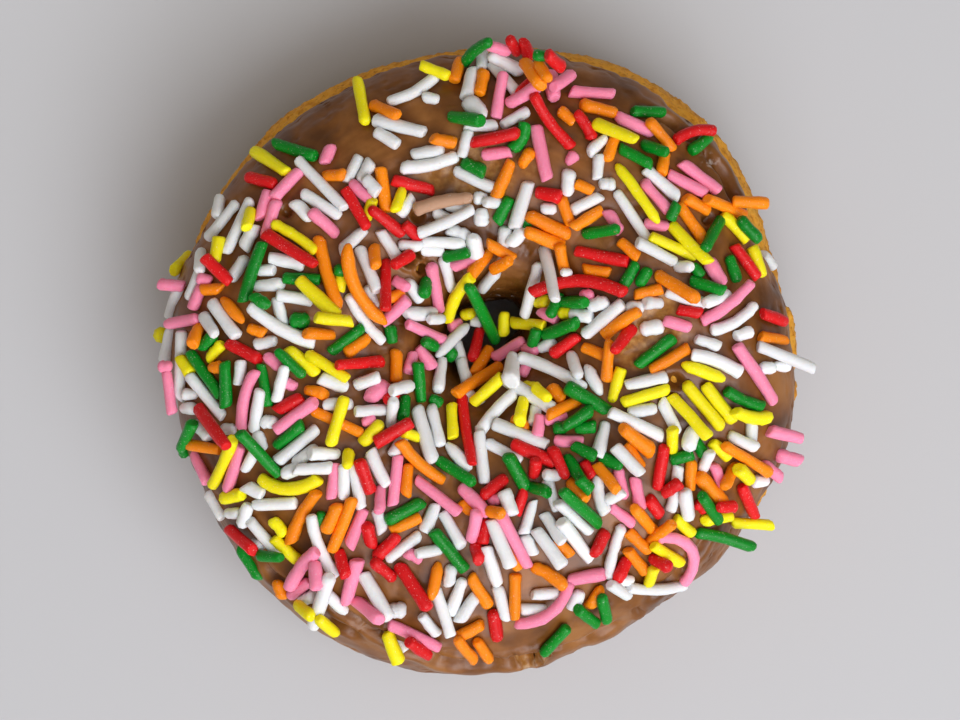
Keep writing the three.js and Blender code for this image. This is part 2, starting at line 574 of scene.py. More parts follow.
# Those that others lie on.
UNDERNEATH = {
    Sugar.WHITE: (
        (3.2, 39.9, -48, 5.8), (-0.9, 35.6, -50, 3.6, 0, 2.7), (-0.2, 33.2, 2, 4.6), (-3.4, 21.7, -15, 4.0),
        (-3.2, 18.1, -20, 3.4), (-5.5, 20.3, -30, 3.0), (-7.0, 15.6, 0, 3.0), (-22.7, 22.1, -32, 6.4),
        (-18.3, 17.0, 42, 4.8), (-34.4, 19.0, 65, 8.4), (-40.6, 10.7, 66, 4.4, 0, 1.7),
        (-42.6, -0.6, 88, 9.6, 0, 1.7), (-41.2, -4.7, 0, 2.1), (-41.4, -6.7, 0, 2.0),
        (-39.5, -9.9, -45, 3.0), (-35.8, -9.6, 0, 2.0), (-31.3, -11.3, -70, 2.8), (-32.6, -13.8, 60, 3.6),
        (-28.5, 6.9, -75, 4.0), (-26.6, 9.0, -8, 4.8), (-20.2, -6.1, 2, 4.0), (-24.8, -13.3, 35, 3.6),
        (-16.6, 5.8, -54, 8.4, 28), (-15.7, 9.0, -68, 3.4), (7.0, 10.0, 75, 8.0), (-0.8, 5.6, 0, 1.8),
        (-3.2, 1.3, -75, 3.0), (7.5, -7.6, 80, 2.8), (-1.2, -5.3, -40, 2.6), (28.8, 8.9, -17, 5.8),
        (42.3, -0.7, 0, 1.9), (21.6, 7.6, 0, 2.6), (27.0, -19.7, 72, 3.2), (39.3, -17.0, 0, 2.1),
        (20.2, -31.0, 0, 2.2), (9.9, -18.9, -72, 4.8), (6.7, -26.0, -65, 3.0), (-7.4, -37.3, -50, 3.6),
        (-11.5, -39.9, -50, 2.6), (-17.6, -17.8, -78, 6.0), (-31.8, -26.0, 0, 1.9), (-24.6, -33.5, 20, 2.2),
        (-20.6, -34.1, -42, 3.2),
    ),
    Sugar.PINK: (
        (24.6, 19.2, -10, 3.4), (-30.7, 22.1, 75, 4.2), (-17.1, 23.9, -40, 3.6), (-39.2, 11.5, -15, 2.2),
        (-29.3, -0.2, -40, 3.0), (-27.1, -3.3, -30, 2.0), (-16.0, -8.4, 20, 2.0),
        (-14.7, -4.2, 40, 3.6, 0, 2.4), (6.0, -1.2, 60, 2.0), (6.9, 1.6, -15, 2.0), (9.5, 6.4, -30, 2.6),
        (10.4, -8.1, 12, 3.2, 0, 1.5), (14.8, 9.3, 15, 2.0), (-3.8, 5.1, 30, 2.0),
        (33.0, 12.5, -60, 4.2, 0, 2.2), (19.6, -17.3, -80, 4.4), (33.4, -16.2, -70, 3.6),
        (1.8, -19.5, 0, 2.0), (-9.6, -27.5, -30, 2.4), (-21.0, -17.0, 83, 5.0), (-25.7, -32.1, 35, 3.4),
    ),
    Sugar.ORANGE: (
        (-17.6, 2.2, 36, 4.2), (-20.4, -8.6, -25, 7.8, 0, 1.7), (-37.5, -0.9, 0, 2.0),
        (-12.1, 9.2, 20, 2.4), (5.4, -8.8, -25, 2.8), (21.5, -13.4, -55, 4.0), (-2.1, -20.7, -40, 2.6),
        (11.4, -26.3, -45, 3.4), (4.2, -27.6, -60, 4.0),
    ),
    Sugar.YELLOW: (
        (-15.9, 21.4, 70, 3.0), (-20.0, 11.1, 80, 2.4), (-2.0, 6.6, 15, 2.0), (11.8, 6.8, 0, 2.0),
        (8.5, 8.3, 10, 2.0), (6.8, -3.7, -15, 2.0), (33.4, -22.2, 9, 4.2),
    ),
    Sugar.GREEN: (
        (6.2, 19.2, 60, 2.0), (-25.5, 11.6, -2, 5.2), (-38.8, 2.7, 45, 3.0),
        (-30.7, -3.4, -80, 6.0, 0, 1.6), (-41.8, -12.6, 80, 2.0), (-19.9, 12.8, 0, 2.0),
        (-11.0, -6.6, 85, 3.0), (-6.5, -5.6, -30, 2.0), (14.7, -9.4, 5, 2.8), (11.1, -9.4, 10, 2.2),
        (-4.4, 0.9, 60, 2.0), (30.4, 12.8, -50, 2.2), (30.8, -12.3, -60, 2.6), (18.3, -14.2, -25, 3.4),
        (-22.8, -22.3, 80, 2.0),
    ),
    Sugar.RED: (
        (6.2, 38.7, 40, 2.6), (-12.9, -5.1, 40, 2.0), (30.9, -20.5, -30, 1.9), (5.4, -19.9, 70, 3.6),
        (0.4, -24.1, 80, 3.6), (1.9, -37.3, -82, 4.0, 0, 2.1),
    ),
}
# Most of them.
MOST = {
    Sugar.WHITE: (
        (16.3, 30.5, 42, 3.4), (25.4, 25.1, -41, 6.2), (16.4, 27.4, 85, 3.4), (17.7, 25.0, 0, 2.3),
        (12.2, 25.2, 85, 3.6, 0, 2.1), (14.7, 22.3, 28, 4.6), (21.6, 19.9, -57, 9.6),
        (24.6, 15.4, -28, 6.0), (0.0, 42.6, 88, 3.0), (3.4, 42.0, -28, 5.4, 0, 2.0),
        (-9.7, 38.1, 28, 7.8, 36), (-7.2, 37.1, -10, 2.4), (-1.8, 39.2, 78, 4.2, 0, 2.0),
        (4.7, 34.3, 30, 4.2), (-11.6, 33.1, -14, 7.3, 0, 2.0), (-13.4, 31.5, -32, 3.8),
        (-2.4, 30.6, 75, 3.8), (-7.7, 29.5, 10, 4.6), (-7.4, 27.8, 12, 8.2, 30, 2.0),
        (-1.1, 25.6, -25, 6.2), (-0.2, 23.0, 0, 2.0), (1.5, 22.4, 0, 2.3), (5.6, 22.0, 73, 6.8, 0, 2.0),
        (-0.1, 20.3, 90, 2.5, 0, 2.1), (9.4, 21.5, 0, 2.2), (3.2, 17.5, 80, 2.9, 0, 2.1),
        (5.0, 17.5, 50, 2.9, 0, 2.0), (-5.6, 22.4, 12, 8.2, -24, 2.0, 0.95), (-5.5, 16.7, -3, 6.2),
        (-10.1, 16.3, -3, 3.4), (-13.0, 16.2, -58, 5.2), (-1.0, 16.2, 100, 3.0, 0, 2.2),
        (-10.7, 21.9, 55, 3.4), (-25.4, 21.3, -45, 3.6, 0, 2.0), (-18.2, 27.1, 62, 4.2),
        (-16.4, 26.8, 60, 3.4), (-37.2, 21.7, 80, 3.0), (-36.7, 19.8, 50, 6.8),
        (-32.9, 17.5, 65, 3.8, 0, 2.0), (-39.8, 14.1, 85, 3.2), (-34.4, 13.1, 55, 4.0),
        (-27.6, 14.1, -12, 5.0, 0, 2.0), (-30.5, 12.8, 0, 2.4), (-30.2, 10.7, 5, 4.3),
        (-16.0, 12.9, -68, 6.6), (-43.5, 8.3, 72, 4.6), (-44.4, 2.3, 80, 4.8), (-38.5, 5.1, -58, 3.4),
        (-36.4, 5.9, -55, 6.2, 0, 2.0), (-38.9, -5.0, -51, 7.6), (-34.2, -1.6, 82, 3.4),
        (-31.8, -7.0, 80, 6.0), (-28.5, 4.8, -29, 10.6, 30, 2.0), (-30.5, 2.6, 12, 3.0),
        (-28.4, -3.2, 77, 5.2), (-21.0, -3.0, -20, 4.0, 0, 2.1), (-30.0, -8.6, 0, 2.4, 0, 2.0),
        (-26.1, -11.9, 40, 7.4, 0, 2.0), (-22.3, -13.1, -2, 4.0, 0, 2.0), (-16.1, -2.8, 20, 3.6),
        (-15.6, -7.0, 3, 4.6), (-12.7, -7.3, 82, 3.8), (-11.4, -3.8, 15, 2.9, 0, 2.0),
        (-9.6, 9.9, -55, 3.6, 0, 2.0), (-8.7, 6.7, 5, 4.2, 0, 2.2), (-6.5, 5.9, 0, 2.1),
        (-4.8, 12.2, -75, 5.2), (0.9, 11.3, 50, 3.8), (-4.2, 2.9, 45, 6.4),
        (-2.5, -1.4, -75, 3.4), (-5.9, -1.9, 82, 4.8), (9.9, -1.3, -25, 10.4, -20, 2.0),
        (6.5, -4.6, -32, 8.6, 0, 2.1), (1.9, -7.2, 48, 8.0, -25, 2.0), (5.4, -10.3, -22, 8.2, 0, 2.0),
        (3.1, -12.8, -28, 5.6), (13.1, -0.6, -72, 3.6), (14.1, 6.4, -8, 3.0, 0, 2.0), (9.1, 2.2, 20, 2.4),
        (-8.1, -10.4, -74, 8.2, 0, 2.0), (-6.5, -9.1, -76, 6.0), (-11.8, -12.0, 62, 3.2, 0, 2.0),
        (-3.3, -13.5, -48, 5.0, 0, 2.1), (0.0, -13.6, -84, 7.4), (-14.7, -15.2, -65, 5.6, 12, 2.1),
        (28.6, 13.3, 0, 2.3), (24.2, 8.2, 0, 2.5), (33.2, 8.8, 22, 3.8), (35.7, 5.7, 31, 7.4, 43),
        (36.9, 3.8, 20, 2.4), (40.4, 14.1, -50, 2.4), (43.0, 0.5, -22, 8.6), (40.3, -1.0, 0, 2.1),
        (16.4, 8.1, 20, 2.9, 0, 2.3), (17.2, 5.9, 40, 7.0, 0, 2.0), (24.0, 4.7, 8, 3.2, 0, 2.2),
        (15.8, -2.7, -63, 4.6, 0, 2.0), (33.2, -0.1, -21, 7.4, -24, 2.0), (31.9, 2.6, -20, 3.6),
        (23.2, -2.8, 12, 5.9), (22.7, -7.0, 10, 4.0), (26.5, -7.9, -64, 5.4),
        (21.8, -8.9, -25, 8.2, -6, 2.0), (29.5, -10.9, 70, 3.4, 0, 2.4), (31.7, -14.1, 65, 2.9),
        (38.1, -10.2, 88, 3.0), (36.9, -11.4, -25, 4.6), (16.9, -11.1, 75, 4.9, 0, 2.0),
        (20.6, -14.0, -46, 5.4, 0, 2.0), (16.7, -19.1, -76, 5.2, 45, 2.0), (18.8, -19.1, 27, 2.8),
        (27.6, -16.0, 85, 2.6), (28.9, -20.3, -81, 4.2, 0, 2.0), (24.7, -32.2, 3, 7.8, 22),
        (19.4, -32.4, -35, 3.2), (18.6, -27.0, 75, 7.7, -16), (9.9, -16.1, 0, 2.3),
        (-7.3, -22.2, 68, 4.2, 0, 2.1), (-4.2, -23.8, -60, 5.6), (3.7, -20.0, -68, 3.7, 0, 2.2),
        (6.6, -22.1, 74, 4.9), (-14.4, -22.6, -75, 3.4), (2.7, -25.8, -67, 7.2, 0, 2.0),
        (9.5, -26.4, -54, 6.6, 0, 2.0), (10.1, -23.6, -58, 4.9), (13.0, -22.1, -43, 6.2),
        (13.3, -25.4, -53, 6.8, 0, 2.0), (-7.6, -26.9, 12, 3.5), (-11.1, -26.3, 37, 6.0),
        (-4.5, -30.3, 82, 3.0, 0, 2.0), (-3.6, -33.3, 68, 5.4), (-2.1, -35.0, 56, 4.4, 0, 2.0),
        (-5.5, -35.5, -72, 7.2), (1.4, -28.9, -72, 5.6, 0, 2.0), (2.8, -34.2, -76, 5.0),
        (9.0, -32.9, 3, 3.8), (7.2, -35.1, -3, 3.6), (13.3, -33.8, 65, 3.0, 0, 2.1),
        (-12.0, -35.2, 0, 2.6, 0, 2.4), (-14.9, -33.2, -60, 7.4, 0, 2.0), (-26.9, -15.5, 20, 2.8, 0, 2.0),
        (-23.8, -15.2, 3, 5.2), (-19.5, -17.0, 90, 4.8), (-32.2, -18.2, -28, 2.9, 0, 2.0),
        (-37.6, -20.4, -62, 4.2), (-29.1, -20.2, 3, 5.8), (-35.1, -21.5, 0, 2.1),
        (-33.4, -21.7, 75, 3.2, 0, 2.0), (-30.8, -24.9, -50, 6.4), (-22.8, -26.2, -68, 9.2, 30),
        (-22.7, -34.0, 72, 7.6, 0, 2.0),
    ),
    Sugar.PINK: (
        (15.6, 37.9, -3, 6.2), (21.6, 33.4, -24, 5.9), (30.8, 26.0, -38, 6.6), (29.0, 25.0, -28, 6.0),
        (24.6, 23.2, -48, 5.8), (12.6, 28.6, 45, 2.0), (18.6, 19.7, -58, 3.6), (2.4, 44.1, -18, 3.2),
        (5.8, 37.5, 32, 5.2, 10, 2.0), (9.9, 38.8, -78, 3.6, 0, 2.2), (11.4, 39.6, 34, 3.2, 0, 2.0),
        (2.2, 29.3, 6, 3.8), (8.4, 29.4, -78, 7.8, 0, 2.0), (-21.8, 29.1, 70, 2.6), (-27.6, 24.9, 46, 5.6),
        (-29.8, 20.1, 72, 5.6), (-43.8, 10.7, -5, 3.6), (-40.2, 9.0, 68, 3.6),
        (-44.1, -4.5, -82, 6.0, 0, 1.6), (-44.7, -0.8, 0, 1.9), (-33.4, -5.4, 77, 8.6, -41, 1.9),
        (-39.7, -15.1, -62, 4.4), (-35.0, -15.1, 73, 6.4), (-26.4, -7.8, 36, 7.0), (-11.5, 10.9, -30, 2.4),
        (-12.2, 7.0, 44, 5.0), (-2.7, 13.8, 18, 3.4), (-6.6, 10.4, -80, 6.6), (-8.0, 4.1, -25, 5.6),
        (-8.0, 0.5, -55, 3.6, 0, 2.0), (-10.0, -0.2, 80, 2.9), (3.8, 1.6, 30, 5.3, 0, 2.0),
        (8.0, -9.0, 85, 3.0), (12.3, -11.3, -3, 3.9), (-12.2, -16.9, 84, 7.0), (34.8, 8.1, 38, 9.0, 28),
        (27.6, 5.2, -18, 4.0), (38.7, -1.8, -57, 9.6, -4), (42.9, -10.4, -14, 4.9),
        (43.3, -13.7, -15, 4.0, 0, 2.2), (22.0, -18.8, -79, 4.6), (41.0, -15.6, -38, 3.6),
        (28.9, -27.0, -60, 9.4, -140), (19.8, -21.8, -37, 4.1), (14.8, -30.5, 11, 5.2, 0, 2.0),
        (-14.4, -19.6, 88, 3.8), (-6.2, -19.1, -38, 7.6), (-1.1, -19.6, -45, 5.6, 0, 2.0),
        (-1.1, -23.4, 78, 4.4), (4.6, -25.4, -62, 8.4), (9.3, -35.2, 37, 10.4, 88),
        (-9.5, -38.8, -25, 8.0, -5), (-17.7, -23.5, 68, 5.6, 0, 2.0), (-25.5, -29.2, 53, 6.4, -20, 2.0),
        (-23.5, -30.3, -88, 4.2, 0, 2.1), (-18.4, -31.2, 75, 6.4, 0, 2.0), (-16.1, -35.2, -40, 4.4, 0, 2.0),
    ),
    Sugar.ORANGE: (
        (16.5, 35.6, -14, 5.3), (12.0, 34.6, -38, 2.6), (18.3, 30.2, 70, 4.2), (25.3, 31.9, -50, 5.6),
        (25.6, 28.0, 82, 3.1), (14.5, 24.5, -25, 2.6), (11.8, 21.2, -70, 4.4), (14.9, 20.1, 32, 5.0),
        (30.4, 22.1, -30, 4.0), (34.5, 21.7, -24, 5.8), (37.9, 22.4, -3, 5.0), (29.7, 19.4, -55, 6.6),
        (20.8, 15.8, -42, 3.6), (-3.5, 41.0, 72, 3.2), (7.1, 40.7, -55, 4.2, 0, 2.0), (8.6, 41.0, -58, 3.2),
        (0.0, 39.3, 78, 3.4), (-13.7, 35.4, -22, 4.2), (-5.4, 31.1, -12, 3.4), (6.3, 28.7, 55, 2.9),
        (3.1, 25.7, 67, 5.4, 0, 2.0), (9.4, 19.2, -26, 6.6, 0, 2.0), (8.7, 17.3, -20, 5.6, 0, 2.0),
        (-13.9, 24.2, -82, 6.2), (-21.0, 26.2, 5, 3.2), (-38.2, 10.1, 3, 3.0), (-35.2, 7.2, -50, 4.6),
        (-40.4, 3.6, 68, 3.0, 0, 2.0), (-31.8, 4.3, -20, 2.6), (-22.9, 3.8, -4, 4.2),
        (-21.8, 12.4, -74, 10.4, 14, 1.9), (-23.4, -4.4, -15, 3.2), (-39.1, -12.2, -10, 4.4),
        (-0.2, 13.8, 48, 4.2), (2.5, 15.6, -30, 4.0), (2.7, 13.5, 30, 3.0), (11.4, 14.0, -78, 5.0),
        (-15.1, 14.7, -85, 2.8), (-12.1, -0.7, 90, 4.6), (-0.1, -0.1, 58, 4.4),
        (10.6, -4.6, -50, 2.8, 0, 2.0), (11.5, -6.6, 25, 5.0), (-8.7, -14.4, -42, 8.4, 26),
        (16.2, 12.7, -8, 3.8), (23.5, 9.8, 12, 4.0), (41.1, 3.2, -8, 3.7), (16.2, 1.2, -22, 4.2),
        (17.8, 0.0, 85, 5.8), (26.5, 0.3, 31, 6.4), (21.9, -11.1, -38, 5.4, 0, 2.2),
        (22.9, -22.4, -50, 4.4), (29.5, -16.0, 88, 4.2), (32.4, -18.1, -50, 5.6, 0, 2.1),
        (35.0, -16.3, 66, 3.6), (25.2, -24.3, 39, 4.4), (22.1, -25.5, -45, 4.2), (21.9, -28.3, -52, 4.2),
        (16.0, -33.5, 56, 3.3), (14.3, -19.1, 20, 2.2), (-10.6, -16.8, 85, 4.6), (-10.8, -23.0, 25, 4.6),
        (1.9, -21.4, -10, 2.4), (-6.6, -31.1, 78, 5.4), (-0.3, -32.5, -58, 5.2), (4.7, -33.3, 90, 6.4),
        (9.6, -30.3, -33, 5.6, -22, 2.0), (-1.7, -38.1, 28, 4.2), (-2.3, -40.9, -50, 4.2, 10),
        (0.2, -40.9, -58, 3.4), (13.5, -18.3, -50, 3.6), (-25.4, -21.9, 62, 8.0, -25),
        (-21.2, -22.2, 65, 4.6, 0, 2.0), (-19.7, -23.2, 68, 8.2, 6), (-28.5, -32.3, -75, 2.8),
    ),
    Sugar.YELLOW: (
        (18.8, 32.4, -22, 6.7), (35.8, 18.9, -45, 5.2, -15), (27.0, 16.2, -24, 7.0), (29.3, 16.6, -45, 7.6),
        (38.9, 14.1, -68, 4.4), (-6.7, 41.0, -22, 4.4), (-11.7, 22.7, 70, 3.4), (-17.0, 36.7, -80, 6.4),
        (-29.9, 28.2, -33, 5.8), (-32.9, 20.1, 75, 2.8), (-42.3, 13.8, 62, 5.2), (-37.4, 15.8, 80, 3.6),
        (-26.4, 17.6, -33, 7.2, -20), (-37.7, 1.3, 50, 3.2), (-41.9, -0.6, -55, 3.0, 0, 2.0),
        (-36.5, -14.4, 66, 7.2, 8), (-23.1, 8.9, -43, 7.6, 0, 2.1), (-20.9, 5.9, -6, 5.2),
        (-25.4, 0.0, -40, 5.6, 0, 2.0), (-21.7, -0.8, -32, 6.6, -8), (-18.9, -13.9, 85, 2.3),
        (-15.6, -10.2, 47, 4.2, 0, 2.0), (-46.1, 3.7, 0, 2.1, 0, 2.3), (-3.6, 8.9, 62, 7.2, -28),
        (3.1, 5.2, 88, 3.5), (6.5, 5.2, -5, 4.7), (0.7, -4.2, 42, 5.5), (5.6, -6.9, 80, 3.6),
        (8.4, -4.5, -40, 2.6), (-4.2, -8.5, -87, 4.8), (-10.1, -10.4, -20, 2.4), (19.0, -3.3, 74, 4.8),
        (31.3, -1.5, -20, 6.4, 0, 2.0), (23.1, -4.9, 17, 7.0), (29.4, -7.8, -48, 8.0, -5, 2.0),
        (31.3, -6.3, -50, 8.2, 0, 2.0), (33.5, -6.0, -52, 6.8, 0, 2.0), (38.0, -7.9, -11, 4.6, 35, 2.1),
        (26.9, -11.2, 88, 3.4), (33.7, -12.6, -42, 3.5), (37.1, -16.0, -45, 2.6, 0, 2.0),
        (38.1, -23.0, -4, 5.8), (28.5, -23.3, -42, 3.3), (26.1, -27.3, -33, 4.6),
        (-12.6, -40.4, -70, 4.8, 0, 2.2), (-27.2, -17.6, 0, 9.0, 80, 2.0), (-35.2, -19.1, 12, 3.0, 0, 2.0),
        (-28.7, -23.4, -50, 3.0), (-27.7, -26.6, -42, 4.8), (-25.1, -35.2, -40, 3.0),
        (-21.9, -37.4, -42, 3.4),
    ),
    Sugar.GREEN: (
        (23.5, 35.2, -2, 4.5), (21.7, 28.9, -28, 5.2), (24.4, 30.0, -18, 4.0), (30.9, 30.7, 38, 3.6),
        (16.9, 18.3, 10, 5.0), (37.8, 18.5, -47, 4.4), (27.1, 21.1, 65, 2.6), (32.6, 17.9, 62, 5.0),
        (-0.9, 43.8, 40, 5.0, -32), (8.3, 43.1, -8, 2.2), (5.5, 31.5, 62, 4.4, 60, 2.0),
        (-1.2, 27.4, -25, 3.6, 0, 2.0), (3.0, 21.3, 62, 4.0), (-26.4, 29.8, -18, 6.0),
        (-31.3, 8.5, -35, 2.8), (-39.1, -1.8, -55, 7.6), (-36.2, -3.3, -88, 6.4), (-41.7, -10.6, 65, 4.2),
        (-25.7, 5.7, 0, 2.6, 0, 2.3), (-19.1, 3.0, 38, 5.8), (-27.1, -0.3, -44, 5.2, 0, 1.6),
        (-27.2, -10.5, 41, 5.0), (-3.6, 15.0, 12, 3.7), (-8.0, 10.4, 80, 2.4, 0, 2.0),
        (-12.8, 3.8, -80, 2.6), (-7.3, 2.4, -30, 2.2), (-8.8, -3.0, -85, 5.6), (10.3, 7.9, 62, 3.6),
        (12.9, 8.3, -2, 3.4), (7.4, 3.3, 75, 2.6), (11.0, 4.5, 20, 5.2, 0, 2.0),
        (14.9, -5.3, -30, 7.0, 0, 2.2), (13.6, -8.1, 33, 5.0), (14.5, -12.7, -28, 3.6),
        (13.4, -15.7, -58, 5.4), (4.9, -15.6, -62, 5.6, 0, 2.0), (8.1, -18.1, -18, 2.8),
        (-3.7, -15.6, -33, 6.2), (20.8, 12.1, 60, 4.2), (22.9, 11.9, 62, 2.8), (31.9, 10.6, -18, 5.0),
        (35.5, 13.0, -72, 3.9), (24.5, 1.3, 38, 6.4), (37.0, -5.5, -24, 5.6, 26), (28.2, -13.6, 14, 3.4),
        (34.3, -25.1, -14, 8.4, -14), (17.3, -35.0, -78, 3.7), (14.9, -36.1, -38, 3.6),
        (14.6, -17.5, -45, 2.6), (-10.9, -21.2, 28, 6.0, 0, 2.0), (14.0, -20.7, -42, 7.2),
        (-4.6, -26.8, -51, 7.2, 0, 2.0), (10.4, -39.4, 47, 5.0), (-30.0, -27.6, -5, 3.4),
        (-32.8, -28.5, -57, 5.6),
    ),
    Sugar.RED: (
        (14.6, 33.3, -58, 4.6, -20), (9.7, 33.8, -54, 9.2, 24), (30.0, 32.3, 14, 6.0, -50),
        (16.9, 14.8, -12, 7.6), (37.3, 14.0, -54, 5.8), (4.5, 44.4, -60, 2.6), (6.3, 44.0, -70, 2.4),
        (10.3, 42.3, -40, 3.0, 0, 2.0), (1.8, 31.5, 12, 7.0), (9.4, 23.5, -10, 3.6, 0, 2.0),
        (-9.7, 24.8, -14, 6.0), (-13.4, 19.7, -38, 6.0), (-9.8, 18.3, -45, 3.0), (-31.2, 25.5, -15, 4.4),
        (-17.8, 21.6, -60, 6.4), (-27.1, 15.8, -32, 8.4), (-37.4, 12.9, -45, 5.2), (-33.7, 1.4, -28, 5.2),
        (-38.1, -9.3, -54, 6.8, 0, 2.0), (-27.2, -6.1, 28, 4.2, 0, 2.0), (-17.3, -0.3, 5, 6.4),
        (-13.6, 10.7, 90, 7.0), (-11.2, 14.3, 32, 3.2), (-0.8, 2.4, 76, 4.6),
        (13.6, 10.8, 0, 13.6, -60, 1.95), (11.7, 2.2, 36, 4.8), (-2.2, -9.7, -81, 9.8, 5, 1.7),
        (-12.5, -10.1, 30, 6.0, 0, 2.0), (7.3, -13.0, -25, 6.4, 0, 2.0), (10.9, -14.3, -65, 4.8),
        (7.5, -15.2, 80, 2.6), (29.3, 7.0, -10, 3.4), (41.3, 6.1, -20, 3.6), (19.9, 3.0, 52, 4.2),
        (25.3, -15.1, 80, 6.2), (24.4, -20.6, -52, 3.1, 0, 2.0), (37.6, -19.8, -67, 4.8),
        (34.6, -20.6, 5, 2.6), (25.2, -28.5, -28, 3.4), (16.7, -25.7, 65, 4.0), (15.0, -15.2, -55, 2.6),
        (1.7, -17.8, 38, 4.4, 0, 2.0), (-0.7, -27.0, -75, 2.4), (-13.4, -26.2, 45, 4.6),
        (-13.9, -29.5, -40, 4.0), (-9.6, -31.9, -56, 7.6, 0, 2.0), (-8.9, -40.6, -35, 3.6),
        (-16.5, -16.3, -70, 4.8, 0, 2.0), (-15.9, -24.7, -78, 3.6, 0, 2.0), (-34.1, -25.1, -42, 4.8),
        (-19.7, -28.7, -75, 3.6, 0, 2.0),
    ),
}
# Those that lie across others.
ON_TOP = {
    Sugar.WHITE: (
        (-5.0, 19.6, 24, 8.4, 14), (-22.7, 25.0, -46, 9.4), (-15.6, 24.8, -50, 3.0, 0, 2.0),
        (4.2, -1.1, 85, 3.8, 0, 2.2), (11.9, 12.5, 0, 1.4, 0, 1.4), (9.6, 12.2, -78, 7.4),
    ),
    Sugar.PINK: (
        (2.5, 37.5, 81, 6.4), (-22.3, 19.5, -42, 5.2), (-42.3, 5.6, 10, 4.6),
    ),
    Sugar.ORANGE: (
        (-0.6, -2.7, 32, 7.6), (27.5, 10.5, -31, 6.8, 0, 2.0), (19.6, 5.4, 35, 6.2, -12),
        (37.5, -13.9, -31, 7.6), (17.6, -16.4, -52, 4.8), (-17.3, 10.4, -64, 12.8, 63, 1.9),
    ),
    Sugar.YELLOW: (
        (-20.4, -8.5, 73, 7.2), (23.9, -30.4, 70, 2.6), (22.0, 23.7, -54, 10.0, -8),
    ),
    Sugar.GREEN: (
        (-2.4, 34.2, -8, 4.6, 0, 2.0), (-32.4, 12.6, 72, 8.6, -8, 2.0), (-31.4, -13.1, -47, 8.2),
        (32.3, -20.8, -56, 4.4), (0.1, 6.7, -64, 8.8),
    ),
    Sugar.RED: (
        (26.9, -17.9, 33, 2.9, 0, 1.9), (19.8, -29.5, 65, 3.4, 0, 2.0),
    ),
}
LAYERS = (UNDERNEATH, MOST, ON_TOP)


# ---- Dough ----


@dataclass
class Dough:
    """The ring of raised dough: lumpy, with a flaky crust on its shoulder and a flat foot."""

    lump_mm: float = 13.0
    lump_height_mm: float = 0.8
    flake_mm: float = 1.2
    flake_height_mm: float = 1.1
    shoulder_mm: float = 9.0
    outer_radius_mm: float = 36.0
    bulge_levels_mm: tuple[float, float, float, float] = (5.0, 12.0, 17.5, 21.0)
    rising_share: float = 0.3
    step_deg: float = 2.0
    bulges: tuple[tuple[float, float, float], ...] = (
        (24, 84, 0.3),
        (94, 158, 0.3),
        (-8.5, -3, 0.9),
        (-4, 10.5, 1.1),
        (-57, -52, 0.5),
        (-29, -23, 0.5),
    )

    def build(self, node: bpy.types.Object) -> bpy.types.Object:
        """Make the dough from its solid.

        Args:
            node: The solid's object.

        Returns:
            The dressed piece.
        """
        piece = fine_copy(node, "dough_ring", 3)
        roughen(piece, self.lump_mm, self.lump_height_mm)
        self.bulge(piece)
        above = ease(points_of(piece)[:, 2], 0, self.shoulder_mm * MM)
        roughen(piece, self.flake_mm, self.flake_height_mm, above)
        places = points_of(piece)
        places[:, 2] = np.maximum(places[:, 2], 0)
        move_points(piece, places)
        piece.data.materials.append(FriedCrust().material())
        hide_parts(node.name)
        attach(piece, BODY)
        return piece

    def bulge(self, piece: bpy.types.Object) -> None:
        """Push the crust out along arcs beside the frosting's edge, each ending in a sharp step."""
        places = points_of(piece)
        turns = np.degrees(np.arctan2(places[:, 1], places[:, 0]))
        heights = places[:, 2] / MM
        outside = np.hypot(places[:, 0], places[:, 1]) > self.outer_radius_mm * MM
        low, full, falling, high = self.bulge_levels_mm
        rim = outside * ease(heights, low, full) * (1 - ease(heights, falling, high))
        out = np.zeros(len(places))
        for start, stop, height in self.bulges:
            rising = ease(turns, start, start + self.rising_share * (stop - start))
            arc = rising * (1 - ease(turns, stop - 0.75 * self.step_deg, stop + 0.25 * self.step_deg))
            out = np.maximum(out, arc * rim * height * MM)
        move_points(piece, places + normals_of(piece) * out[:, None])


# ---- Frosting ----


@dataclass(frozen=True)
class Mark:
    """A round mark in the frosting: a pit, a thin place that shows the dough, or a dusting of sugar."""

    x: float
    y: float
    radius: float
    depth: float = 0.0
    rim: float = 0.0
    bare: float = 0.0
    dust: float = 0.0


@dataclass(frozen=True)
class Crease:
    """A line along the rim where the frosting folded as it ran: its two ends, by turn and radius."""

    start: float
    stop: float
    start_radius: float
    stop_radius: float
    depth: float
    width: float = 0.5


